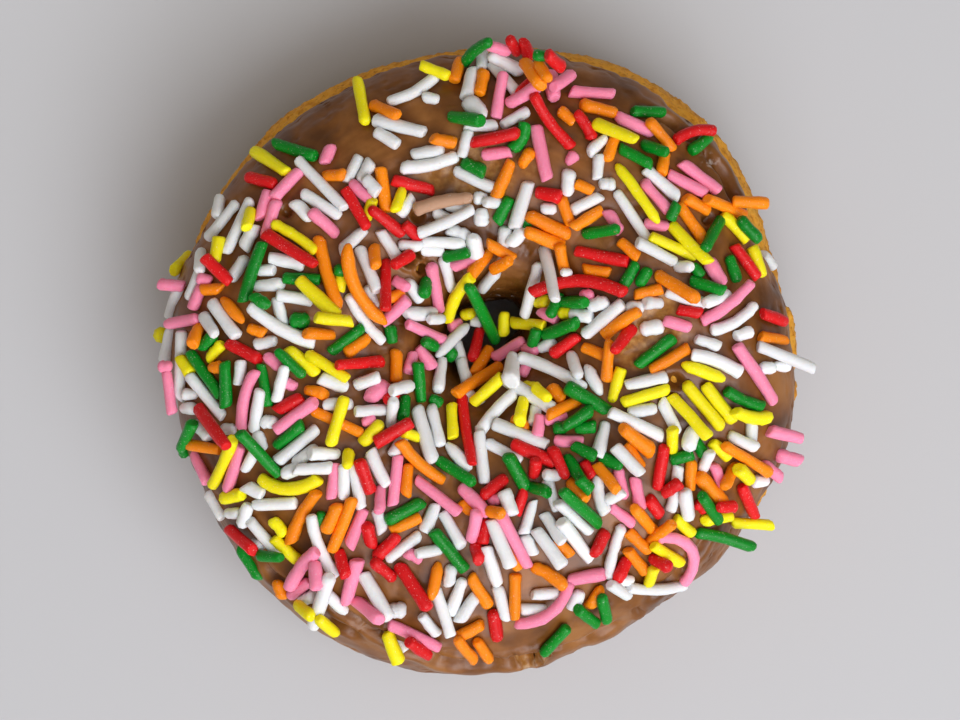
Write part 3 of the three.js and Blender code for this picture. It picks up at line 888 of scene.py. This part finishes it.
@dataclass
class Frosting:
    """The frosting: a satin skin, uneven where it ran and pitted where bubbles burst.

    Its runs are arcs where its lip goes further down: where each starts and stops, in degrees, and how far.
    """

    lump_mm: float = 8.0
    lump_height_mm: float = 0.8
    ripple_mm: float = 2.6
    ripple_height_mm: float = 0.16
    gap_mm: float = 0.35
    bite_mm: float = 0.15
    full_mm: float = 1.5
    lip_reach_mm: float = 6.0
    lip_waves: tuple[tuple[int, float, float], ...] = ((23, 0.25, 1.0), (41, 0.175, 2.2), (67, 0.15, 0.0))
    run_fade_deg: float = 8.0
    outer_radius_mm: float = 34.0
    sectors: int = 120
    hole: tuple[float, float] = (0.1, 4.2)
    # How the painted shade deep in the hole fades: over these levels and these distances from the hole, and
    # its strongest share.
    hole_shade_levels_mm: tuple[float, float] = (17.0, 29.0)
    hole_shade_radii_mm: tuple[float, float] = (12.0, 20.0)
    darkest_hole_shade: float = 0.85
    least_facing_up: float = 0.2
    crease_wander_mm: float = 0.15
    crease_wanders: int = 50
    runs: tuple[tuple[float, float, float], ...] = ((50, 94, 3.4), (24, 54, 2.0), (94, 160, 0.5))
    marks: tuple[Mark, ...] = (
        Mark(22.9, 3.4, 5.6, 0.35, 0.0, 1.0),
        Mark(24.4, 8.2, 2.4, 0.2, 0.0, 0.7),
        Mark(-0.6, 25.8, 5.4, 0.3, 0.0, 0.8),
        Mark(-6.8, 25.6, 3.6, 0.2, 0.0, 0.6),
        Mark(6.4, 27.4, 2.4, 0.1, 0.0, 0.5),
        Mark(-27.0, 20.7, 1.2, 0.9, 0.2),
        Mark(-8.9, 20.1, 1.2, 1.1, 0.15),
        Mark(-8.4, 12.7, 1.0, 1.3, 0.4, 0.2),
        Mark(-10.2, 13.9, 1.2, 1.2, 0.4, 0.2),
        Mark(-8.8, 14.7, 0.7, 1.0, 0.3, 0.2),
        Mark(31.2, 19.6, 1.1, 0.9, 0.15),
        Mark(26.6, -2.7, 1.4, 1.1, 0.15),
        Mark(21.6, -34.9, 1.0, 0.5, 0.35),
        Mark(6.3, -41.6, 1.4, 0.5, 0.3, 0.55, 0.3),
        Mark(8.6, -41.4, 1.1, 0.4, 0.3, 0.5),
        Mark(4.4, -41.0, 0.7, 0.4, 0.2),
        Mark(31.6, 27.8, 1.3, 0.0, 0.0, 0.0, 1.0),
        Mark(-15.0, -36.5, 1.2, 0.2, 0.15),
        Mark(27.8, -28.4, 1.1, 0.0, 0.15, 0.0, 0.6),
    )
    creases: tuple[Crease, ...] = (
        Crease(46, 58, 42.4, 41.6, 1.0),
        Crease(30, 44, 41.4, 42.8, 1.0),
        Crease(222, 247, 41.4, 41.6, 1.1),
        Crease(238, 266, 39.4, 42.4, 1.0),
        Crease(252, 272, 40.8, 41.2, 0.8),
        Crease(262, 284, 42.3, 41.8, 1.4),
        Crease(280, 298, 42.2, 41.2, 1.2),
        Crease(304, 324, 40.4, 39.8, 0.8),
    )

    def build(self, node: bpy.types.Object, dough: bpy.types.Object) -> bpy.types.Object:
        """Make the frosting from its solid, on the finished dough.

        Args:
            node: The solid's object.
            dough: The dressed dough.

        Returns:
            The dressed piece.
        """
        piece = fine_copy(node, "frosting_skin", 3)
        self.wave_lip(piece)
        roughen(piece, self.lump_mm, self.lump_height_mm)
        roughen(piece, self.ripple_mm, self.ripple_height_mm)
        self.press_marks(piece)
        self.fold_creases(piece)
        self.tuck_onto(piece, dough)
        piece.data.materials.append(SetFrosting().material())
        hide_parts(node.name)
        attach(piece, BODY)
        return piece

    def wave_lip(self, piece: bpy.types.Object) -> None:
        """Slide the frosting's outer edge along the dough: in short waves, and lower where it ran further."""
        places = points_of(piece)
        facing = normals_of(piece)
        turns = np.arctan2(places[:, 1], places[:, 0])
        outside = np.hypot(places[:, 0], places[:, 1]) > self.outer_radius_mm * MM
        sectors = ((turns + math.pi) / (2 * math.pi) * self.sectors).astype(int) % self.sectors
        lowest = np.full(self.sectors, np.inf)
        np.minimum.at(lowest, sectors[outside], places[outside, 2])
        near = (1 - ease(places[:, 2] - lowest[sectors], 0, self.lip_reach_mm * MM)) * outside
        slide = np.zeros(len(turns))
        for waves, height, phase in self.lip_waves:
            slide += height * np.sin(waves * turns + phase)
        degrees = np.degrees(turns)
        fade = self.run_fade_deg
        for start, stop, further in self.runs:
            slide += further * ease(degrees, start, start + fade) * (1 - ease(degrees, stop - fade, stop))
        outwards = np.column_stack([np.cos(turns), np.sin(turns), np.zeros(len(turns))])
        flat = (facing * outwards).sum(1)
        level = np.clip(facing[:, 2], 0, 1)
        share = near * slide * MM
        places += outwards * (share * level)[:, None]
        places[:, 2] -= share * np.abs(flat)
        move_points(piece, places)

    def press_marks(self, piece: bpy.types.Object) -> None:
        """Press the pits and thin places into the skin, and note where it is bare or dusted, and where
        painted shade darkens it deep in the hole.
        """
        places = points_of(piece)
        facing = normals_of(piece)
        bare = np.zeros(len(places))
        dust = np.zeros(len(places))
        push = np.zeros(len(places))
        on_top = facing[:, 2] > self.least_facing_up
        # A pit is deepest in the inner fifth of its radius, and its raised rim runs round its edge.
        for mark in self.marks:
            away = np.hypot(places[:, 0] / MM - mark.x, places[:, 1] / MM - mark.y) / mark.radius
            push -= on_top * mark.depth * (1 - ease(away, 0.2, 1.0))
            push += on_top * mark.rim * ease(away, 0.6, 1.0) * (1 - ease(away, 1.0, 1.6))
            bare = np.maximum(bare, mark.bare * (1 - ease(away, 0.55, 1.3)))
            dust = np.maximum(dust, mark.dust * (1 - ease(away, 0.5, 1.2)))
        move_points(piece, places + facing * (push * MM)[:, None])
        give_attribute(piece, "bare", bare)
        give_attribute(piece, "dust", dust)
        # Painted shade: the lower a point is and the nearer the hole's middle, the more the material darkens
        # it.
        from_hole = np.hypot(places[:, 0] / MM - self.hole[0], places[:, 1] / MM - self.hole[1])
        down = 1 - ease(places[:, 2] / MM, *self.hole_shade_levels_mm)
        near = 1 - ease(from_hole, *self.hole_shade_radii_mm)
        give_attribute(piece, "hole_shade", self.darkest_hole_shade * down * near)

    def fold_creases(self, piece: bpy.types.Object) -> None:
        """Press the creases in, each with a low fold on its inner side and a rolled lip on its outer side."""
        places = points_of(piece)
        facing = normals_of(piece)
        radii = np.hypot(places[:, 0], places[:, 1]) / MM
        turns = np.degrees(np.arctan2(places[:, 1], places[:, 0])) % 360
        push = np.zeros(len(places))
        for crease in self.creases:
            share = (turns - crease.start) / (crease.stop - crease.start)
            middle = crease.start_radius + (crease.stop_radius - crease.start_radius) * np.clip(share, 0, 1)
            fading = ease(share, -0.1, 0.2) * (1 - ease(share, 0.8, 1.1)) * (facing[:, 2] > 0)
            wander = self.crease_wander_mm * np.sin(np.radians(turns) * self.crease_wanders)
            across = (radii - middle - wander) / crease.width
            fold = 0.3 * np.exp(-((across + 1.6) ** 2))
            lip = 0.5 * np.exp(-((across - 1.9) ** 2) / 1.5)
            push += fading * crease.depth * (fold + lip - np.exp(-(across**2)))
        move_points(piece, places + facing * (push * MM)[:, None])

    def tuck_onto(self, piece: bpy.types.Object, dough: bpy.types.Object) -> None:
        """Close the gap that the two solids keep: the lip and the inner face go down onto the crust."""
        ground = tree_of([dough])
        places = points_of(piece)
        for i, place in enumerate(places):
            near, normal, _, _ = ground.find_nearest(Vector(place))
            height = (Vector(place) - near).dot(normal) / MM
            down = (self.gap_mm + self.bite_mm) * (1 - ease(height, self.gap_mm + 0.1, self.full_mm))
            places[i] = place - np.array(normal) * down * MM
        move_points(piece, places)


# ---- Sprinkles ----

UNEVEN_WIDTH = 0.035  # how much a sprinkle's width changes from ring to ring, as a share of its radius
UNEVEN_MIDDLE = 0.03  # how far the middles of those rings stray, likewise
CUT_REACH = 1.3  # how far from an end the slant of its cut starts, in radii
CUT_FADE = 0.6  # over what length that slant grows to its full size, likewise
SHORTEST_LINE_MM = 0.3  # the least length of the line that a short sprinkle's balls stand on


class Ends(Enum):
    """How a sprinkle's ends are shaped: the rings of each end, as (depth, width) shares of its radius."""

    CUT = ((0.0, 0.66), (0.12, 0.88), (0.42, 1.0))
    SOFT = ((0.0, 0.5), (0.22, 0.82), (0.65, 1.0))
    DRAWN = ((0.0, 0.3), (0.4, 0.62), (1.3, 0.96))


@dataclass
class Rod:
    """A straight sprinkle of unit radius, along Z, that the laid ones are copied from."""

    ends: Ends
    body_rings: int
    sides: int = 8
    length: float = 5.0

    def model(self) -> bpy.types.Object:
        """Draw the rod up ring by ring from the disc of its lower end.

        Returns:
            The rod's object, which isn't shown.
        """
        depths = [d for d, _ in self.ends.value]
        start, stop = depths[-1], self.length - depths[-1]
        body = [(depth, 1.0) for depth in np.linspace(start, stop, self.body_rings + 2)[1:-1]]
        top = [(self.length - d, w) for d, w in reversed(self.ends.value)]
        rings = [*self.ends.value, *body, *top]
        bpy.ops.object.select_all(action="DESELECT")
        bpy.ops.mesh.primitive_circle_add(
            vertices=self.sides, radius=rings[0][1], fill_type="NGON", location=(0, 0, -self.length / 2)
        )
        rod = bpy.context.object
        rod.name = f"rod_{self.ends.name.lower()}"
        bpy.ops.object.transform_apply(location=True, rotation=False, scale=False)
        bpy.ops.object.mode_set(mode="EDIT")
        bpy.ops.mesh.select_all(action="SELECT")
        for (low, narrow), (high, wide) in zip(rings, rings[1:]):
            bpy.ops.mesh.extrude_region_move(TRANSFORM_OT_translate={"value": (0, 0, high - low)})
            bpy.ops.transform.resize(value=(wide / narrow, wide / narrow, 1))
        bpy.ops.mesh.select_all(action="SELECT")
        bpy.ops.mesh.normals_make_consistent(inside=False)
        bpy.ops.object.mode_set(mode="OBJECT")
        for face in rod.data.polygons:
            face.use_smooth = abs(face.normal.z) < 0.99
        return rod


@dataclass(frozen=True)
class Sprinkle:
    """One sprinkle: its colour and form, and where it lies, seen from above. Lengths are in millimetres.

    Each of its two cuts slants aside and up, by so much for each unit of width.
    """

    sugar: Sugar
    x: float
    y: float
    turn: float
    length: float
    bend: float = 0.0
    thickness: float = 1.8
    smear: float = 0.0
    ends: Ends = Ends.CUT
    roll: float = 0.0
    tint: float = 0.5
    sink: float = 0.3
    taper: float = 0.0
    cuts: tuple[tuple[float, float], tuple[float, float]] = ((0.0, 0.0), (0.0, 0.0))

    def line(self, steps: int) -> tuple[np.ndarray, np.ndarray]:
        """Follow the sprinkle's bent centre line.

        Args:
            steps: How many points to give.

        Returns:
            For each point, how far along and how far aside of the middle it is, in metres.
        """
        reach = max(self.length - self.thickness, SHORTEST_LINE_MM) / 2 * MM
        along = np.linspace(-reach, reach, steps)
        return bend_line(along, np.zeros(steps), math.radians(self.bend) / (self.length * MM))


def bend_line(along: np.ndarray, aside: np.ndarray, curve: float) -> tuple[np.ndarray, np.ndarray]:
    """Bend points of a straight rod to an arc.

    Args:
        along: How far along the rod each point is, from its middle.
        aside: How far aside each point is, on the side that the rod bends to.
        curve: The arc's turn for each metre, in radians.

    Returns:
        The same two distances after bending.
    """
    if abs(curve) < 1e-6:
        return along, aside
    turn = along * curve
    return (1 / curve - aside) * np.sin(turn), 1 / curve - (1 / curve - aside) * np.cos(turn)


def heading_of(turn: float, up: Vector, steepest: float) -> Vector:
    """The direction in a tilted plane that has a given turn when it is seen from above.

    Args:
        turn: The turn, in degrees.
        up: The plane's normal.
        steepest: The most that the direction may rise or fall, before it is laid in the plane.

    Returns:
        The direction, of unit length.
    """
    flat = Vector((math.cos(math.radians(turn)), math.sin(math.radians(turn)), 0))
    flat.z = float(np.clip(-flat.dot(up) / max(up.z, 0.05), -steepest, steepest))
    return (flat - up * flat.dot(up)).normalized()


@dataclass
class Settled:
    """A sprinkle that came to rest: where it lies, its balls' middles and if anything holds it."""

    sprinkle: Sprinkle
    matrix: Matrix
    balls: np.ndarray
    held: bool


@dataclass
class Heap:
    """What a new sprinkle can rest on: the ground, and the balls that stand for those already laid.

    The mouth is the top of the hole, where sprinkles jam: its x, y and radius, the level in its middle and
    how much higher that is at its edge, in millimetres.
    """

    ground: BVHTree
    reach: float = 10 * MM
    depth: float = 22 * MM
    nothing: float = -13 * MM
    steepest: float = 1.0
    hanging_steepest: float = 0.4
    closeness: float = 0.9
    mouth: tuple[float, float, float] = (0.1, 4.2, 8.0)
    mouth_floor: float = 22.0
    mouth_rise: float = 5.0
    balls_per_thickness: float = 1.4
    steepest_heading: float = 1.5
    flattest_ground: float = 0.5

    def __post_init__(self) -> None:
        """Start with nothing laid."""
        self.centres = np.empty((0, 3))
        self.radii = np.empty(0)

    def needed_height(self, place: Vector, up: Vector, radius: float, sink: float) -> float:
        """How high over a place a ball's middle has to be to clear all that lies there.

        Args:
            place: The point that heights count from.
            up: The direction that counts as up.
            radius: The ball's radius.
            sink: How far it may press into the ground.

        Returns:
            The height, or a low one where nothing is under the ball.
        """
        height = self.jammed_height(place)
        hit, normal, _, _ = self.ground.ray_cast(place + up * self.reach, -up, self.depth)
        if hit is not None:
            lean = max(self.flattest_ground, normal.dot(up))
            height = max(height, (hit - place).dot(up) + radius / lean - sink)
        if len(self.radii):
            apart = self.centres - np.array(place)
            rise = apart @ np.array(up)
            aside = (apart**2).sum(1) - rise**2
            room = ((self.radii + radius) * self.closeness) ** 2 - aside
            touching = (room > 0) & (np.abs(rise) < 2 * self.reach)
            if touching.any():
                height = max(height, float((rise[touching] + np.sqrt(room[touching])).max()))
        return height

    def jammed_height(self, place: Vector) -> float:
        """How high over a place sprinkles jam in the mouth of the hole, or a low height outside it."""
        x, y, radius = self.mouth
        away = math.hypot(place.x / MM - x, place.y / MM - y) / radius
        if away > 1:
            return 1.1 * self.nothing  # lower than what counts as nothing
        return (self.mouth_floor + self.mouth_rise * away**2) * MM - place.z

    def settle(self, sprinkle: Sprinkle, place: Vector, up: Vector) -> Settled:
        """Let a sprinkle down until it rests on two points, one on either side of its middle.

        Args:
            sprinkle: The sprinkle, whose length is what shows of it from where it comes down.
            place: A point under its middle, on the ground.
            up: The direction that it comes down against.

        Returns:
            Where it lies.
        """
        heading = heading_of(sprinkle.turn, up, self.steepest_heading)
        side = up.cross(heading)
        radius = sprinkle.thickness / 2 * MM
        steps = max(3, round(sprinkle.length / sprinkle.thickness * self.balls_per_thickness))
        along, aside = sprinkle.line(steps)
        middle = float(aside.mean())
        needs = np.array(
            [
                self.needed_height(place + heading * a + side * (b - middle), up, radius, sprinkle.sink * MM)
                for a, b in zip(along, aside)
            ]
        )
        hangs = needs.min() < self.nothing
        height, slope = rest_on(along, needs, self.hanging_steepest if hangs else self.steepest)
        axis = (heading + up * slope).normalized()
        over = axis.cross(side)
        rolled = Matrix.Rotation(math.radians(sprinkle.roll), 3, axis)
        side, over = rolled @ side, rolled @ over
        stretch = math.hypot(1, slope)
        origin = place + up * height - side * middle
        matrix = Matrix((over, side, axis)).transposed().to_4x4()
        matrix.translation = origin
        balls = np.array([origin + axis * float(a) * stretch + side * float(b) for a, b in zip(along, aside)])
        return Settled(
            replace(sprinkle, length=sprinkle.length * stretch),
            matrix,
            balls,
            held=float(needs.max()) > self.nothing,
        )

    def add(self, balls: np.ndarray, radius: float) -> None:
        """Count a laid sprinkle among what the next ones can rest on."""
        self.centres = np.vstack([self.centres, balls])
        self.radii = np.append(self.radii, np.full(len(balls), radius))


def rest_on(along: np.ndarray, needs: np.ndarray, steepest: float) -> tuple[float, float]:
    """Find the lowest straight line over some heights that is held up on both sides of its middle.

    Args:
        along: Where each height is, from the middle.
        needs: The least height there.
        steepest: The most that the line may slope either way.

    Returns:
        The line's height at its middle, and its slope.
    """
    height, slope = -math.inf, 0.0
    for a, need_a in zip(along, needs):
        for b, need_b in zip(along, needs):
            if a < 0 < b:
                at_middle = (need_a * b - need_b * a) / (b - a)
                if at_middle > height:
                    height, slope = at_middle, (need_b - need_a) / (b - a)
    slope = float(np.clip(slope, -steepest, steepest))
    return float((needs - slope * along).max()), slope


@dataclass
class Sprinkles:
    """All the sprinkles, laid layer by layer."""

    seed: int = 11
    curly_bend: float = 15.0
    body_rings: dict[bool, int] = field(default_factory=lambda: {False: 3, True: 9})
    fall_mm: float = 10.0
    aside_mm: float = 3.0
    stub_slenderness: float = 1.3
    blob_thickness_mm: float = 2.05
    blob_length_mm: float = 3.6
    drawn_length_mm: float = 4.5
    ends_weights: tuple[float, float, float] = (6, 4, 0.3)

    def __post_init__(self) -> None:
        """Start the seeded draw."""
        self.draw = random.Random(self.seed)

    def build(self, frosting: bpy.types.Object, dough: bpy.types.Object) -> list[bpy.types.Object]:
        """Lay every sprinkle and join them, one piece for each colour.

        Args:
            frosting: The dressed frosting.
            dough: The dressed dough.

        Returns:
            The joined pieces.
        """
        rods = {
            (ends, curly): Rod(ends, rings).model()
            for ends in Ends
            for curly, rings in self.body_rings.items()
        }
        heap = Heap(tree_of([frosting, dough]))
        copies: dict[Sugar, list[bpy.types.Object]] = {sugar: [] for sugar in Sugar}

        def put(settled: Settled) -> None:
            """Lay a settled sprinkle and let the next ones rest on it."""
            sprinkle = settled.sprinkle
            heap.add(settled.balls, sprinkle.thickness / 2 * MM)
            rod = rods[sprinkle.ends, abs(sprinkle.bend) > self.curly_bend]
            copies[sprinkle.sugar].append(lay(rod, sprinkle, settled.matrix, self.draw))

        for layer in LAYERS:
            for sugar, readings in layer.items():
                for reading in readings:
                    put(self.settle_known(heap, self.with_form(Sprinkle(sugar, *reading))))
        for rod in rods.values():
            bpy.data.objects.remove(rod)
        return [self.join(sugar, pieces) for sugar, pieces in copies.items()]

    def with_form(self, sprinkle: Sprinkle) -> Sprinkle:
        """Draw the finer form of a sprinkle: how its ends are broken, its taper, its tint and its roll."""
        stub = sprinkle.length / sprinkle.thickness < self.stub_slenderness
        blob = sprinkle.thickness > self.blob_thickness_mm and sprinkle.length < self.blob_length_mm
        soft = stub or blob
        cut, rounded, drawn = self.ends_weights
        if sprinkle.length <= self.drawn_length_mm:
            drawn = 0
        weights = (0, 1, 0) if soft else (cut, rounded, drawn)
        slant = 0.1 if soft else 0.2
        return replace(
            sprinkle,
            thickness=sprinkle.thickness * self.draw.uniform(0.89, 0.99),
            ends=self.draw.choices(list(Ends), weights)[0],
            roll=self.draw.gauss(0, 8),
            tint=self.draw.random(),
            sink=self.draw.uniform(0.15, 0.4),
            taper=self.draw.gauss(0, 0.07),
            cuts=tuple((self.draw.gauss(0, slant), self.draw.gauss(0, slant)) for _ in range(2)),
        )

    def settle_known(self, heap: Heap, sprinkle: Sprinkle) -> Settled:
        """Let a sprinkle with a known place down along the line from the viewpoint.

        Args:
            heap: What lies there.
            sprinkle: The sprinkle.

        Returns:
            Where it lies: against the side of the ring if nothing is under it.
        """
        level = Vector((sprinkle.x, sprinkle.y, LEVEL_MM)) * MM
        back = (Vector(VIEWPOINT_MM) * MM - level).normalized()
        settled = heap.settle(sprinkle, level + back * self.fall_mm * MM, back)
        if settled.held:
            return settled
        near, normal, _, _ = heap.ground.find_nearest(level + back * self.aside_mm * MM)
        return heap.settle(sprinkle, near, normal)

    def join(self, sugar: Sugar, pieces: list[bpy.types.Object]) -> bpy.types.Object:
        """Join all the sprinkles of one colour and dress them.

        Args:
            sugar: The colour.
            pieces: The sprinkles.

        Returns:
            The joined piece.
        """
        joined = join_all(pieces, f"sprinkles_{sugar.value.name}")
        joined.data.materials.append(sugar.value.material())
        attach(joined, BODY)
        return joined


def lay(rod: bpy.types.Object, sprinkle: Sprinkle, matrix: Matrix, draw: random.Random) -> bpy.types.Object:
    """Copy a rod, give the copy a sprinkle's size, cuts, unevenness and bend, and put it in its place.

    Args:
        rod: The straight rod with the right ends.
        sprinkle: The sprinkle.
        matrix: Where it lies.
        draw: The seeded draw that its unevenness comes from.

    Returns:
        The copy, with its own mesh.
    """
    copy = bpy.data.objects.new("sprinkle", rod.data.copy())
    bpy.context.scene.collection.objects.link(copy)
    radius = sprinkle.thickness / 2 * MM
    half = sprinkle.length / 2 * MM
    places = points_of(copy)
    levels, ring = np.unique(np.round(places[:, 2], 3), return_inverse=True)
    rod_half = levels.max()
    # The rod's ends keep their form, and only what is between them is drawn out to the sprinkle's length.
    cap = min(rod_half - 0.01, 0.95 * half / radius) / 2
    inner = np.clip(places[:, 2] / (rod_half - cap), -1, 1) * (half - cap * radius)
    outer = np.sign(places[:, 2]) * np.maximum(np.abs(places[:, 2]) - (rod_half - cap), 0) * radius
    along = inner + outer
    swell = np.array([1 + draw.gauss(0, UNEVEN_WIDTH) + sprinkle.taper * z / rod_half for z in levels])[ring]
    shift = np.array([(draw.gauss(0, UNEVEN_MIDDLE), draw.gauss(0, UNEVEN_MIDDLE)) for _ in levels])[ring]
    up = (places[:, 0] * swell + shift[:, 0]) * radius
    aside = (places[:, 1] * swell + shift[:, 1]) * radius
    for end, (slant_aside, slant_up) in zip((-1, 1), sprinkle.cuts):
        share = np.clip((places[:, 2] * end - rod_half + CUT_REACH) / CUT_FADE, 0, 1)
        along += share * (slant_aside * aside + slant_up * up)
    along, aside = bend_line(along, aside, math.radians(sprinkle.bend) / (sprinkle.length * MM))
    move_points(copy, np.column_stack([up, aside, along]))
    copy.data.transform(matrix)
    give_attribute(copy, "tint", np.full(len(places), sprinkle.tint))
    give_attribute(copy, "smear", np.full(len(places), float(sprinkle.smear)))
    return copy


@dataclass
class Crumbs:
    """Crumbs of crust that stuck to the frosting as it set: the middle and size of each, in millimetres."""

    seed: int = 5
    drop_mm: float = 45.0
    side_mm: float = 18.0
    pressed_mm: float = 0.3
    places: tuple[tuple[float, float, float], ...] = (
        (-27.0, 34.5, 1.3),
        (25.0, -34.6, 0.9),
        (39.6, -20.0, 0.9),
        (-35.8, 25.2, 0.8),
        (-12.4, 41.0, 0.8),
    )

    def build(self, grounds: list[bpy.types.Object], crust: bpy.types.Material) -> bpy.types.Object:
        """Make the crumbs and press them on.

        Args:
            grounds: What they lie on.
            crust: The crust's own material.

        Returns:
            The joined crumbs.
        """
        draw = random.Random(self.seed)
        tree = tree_of(grounds)
        crumbs = []
        for x, y, size in self.places:
            hit, _, _, _ = tree.ray_cast(Vector((x, y, self.drop_mm)) * MM, Vector((0, 0, -1)))
            if hit is None:
                hit, _, _, _ = tree.find_nearest(Vector((x, y, self.side_mm)) * MM)
            bpy.ops.mesh.primitive_ico_sphere_add(subdivisions=2, radius=1)
            crumb = bpy.context.object
            places = points_of(crumb)
            lumps = np.array([draw.gauss(1, 0.16) for _ in places])[:, None]
            reach = np.array([draw.uniform(0.7, 1.0), draw.uniform(0.6, 0.9), draw.uniform(0.4, 0.6)])
            turned = Matrix.Rotation(draw.uniform(0, math.pi), 3, "Z")
            move_points(crumb, places * lumps * reach * size / 2 * MM @ np.array(turned).T)
            inwards = -Vector((hit.x, hit.y, 0)).normalized()
            crumb.data.transform(Matrix.Translation(hit + inwards * self.pressed_mm * MM))
            crumbs.append(crumb)
        joined = join_all(crumbs, "crust_crumbs")
        joined.data.materials.append(crust)
        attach(joined, BODY)
        return joined


# ---- Studio ----


@dataclass
class Studio:
    """A pale floor, three soft lamps on one side, a pale sky, and a camera straight above."""

    floor_size: float = 3.0
    floor_gap_mm: float = 0.05
    sky_strength: float = 0.37
    lens: float = 200.0

    def build(self) -> None:
        """Set up the floor, the lights and the camera."""
        self.lay_floor()
        self.hang_lamp("window", (0.45, -0.55, 0.98), 0.8, 7.9, "fbfcff")
        self.hang_lamp("low_window", (0.12, -0.8, 0.42), 0.4, 1.7, "f4f3ff")
        self.hang_lamp("ceiling", (0.32, -0.5, 1.0), 1.4, 7.1, "ecedff")
        world = bpy.data.worlds.new("sky")
        world.use_nodes = True
        background = world.node_tree.nodes["Background"]
        background.inputs["Color"].default_value = linear("f5e8d7")
        background.inputs["Strength"].default_value = self.sky_strength
        bpy.context.scene.world = world
        bpy.context.scene.view_settings.view_transform = "Standard"
        self.place_camera()

    def lay_floor(self) -> None:
        """Lay the pale floor, just clear of the doughnut's foot so that the two don't share a plane."""
        bpy.ops.mesh.primitive_plane_add(size=self.floor_size, location=(0, 0, -self.floor_gap_mm * MM))
        floor = bpy.context.object
        floor.name = "floor"
        material, tree = new_material("matt_pale_floor")
        shader = add_node(
            tree, "ShaderNodeBsdfPrincipled", {}, {"Base Color": linear("c4c6c7"), "Roughness": 0.8}
        )
        finish_material(tree, shader)
        floor.data.materials.append(material)

    def hang_lamp(
        self, name: str, place: tuple[float, float, float], size: float, power: float, colour: str
    ) -> None:
        """Hang a square soft lamp that points at the doughnut.

        Args:
            name: Its name.
            place: Where it hangs.
            size: The length of its side.
            power: Its power in watts.
            colour: Its sRGB hex colour.
        """
        lamp = bpy.data.lights.new(name, "AREA")
        lamp.size = size
        lamp.energy = power
        lamp.color = linear(colour)[:3]
        hung = bpy.data.objects.new(name, lamp)
        hung.location = place
        hung.rotation_euler = (-Vector(place)).to_track_quat("-Z", "Y").to_euler()
        bpy.context.scene.collection.objects.link(hung)

    def place_camera(self) -> None:
        """Hold the camera straight above the doughnut, looking down, with its top towards +Y."""
        camera = bpy.data.cameras.new("camera")
        camera.lens = self.lens
        held = bpy.data.objects.new("camera", camera)
        held.location = Vector(VIEWPOINT_MM) * MM
        bpy.context.scene.collection.objects.link(held)
        bpy.context.scene.camera = held


def main() -> None:
    """Dress the doughnut, light it and log the face count of each piece."""
    logging.basicConfig(level=logging.INFO)
    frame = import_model()
    dough = Dough().build(frame["nodes"]["dough"])
    LOG.info("%s: %d faces", dough.name, len(dough.data.polygons))
    frosting = Frosting().build(frame["nodes"]["frosting"], dough)
    LOG.info("%s: %d faces", frosting.name, len(frosting.data.polygons))
    crumbs = Crumbs().build([frosting, dough], dough.data.materials[0])
    LOG.info("%s: %d faces", crumbs.name, len(crumbs.data.polygons))
    for piece in Sprinkles().build(frosting, dough):
        LOG.info("%s: %d faces", piece.name, len(piece.data.polygons))
    Studio().build()


if __name__ == "__main__":
    main()
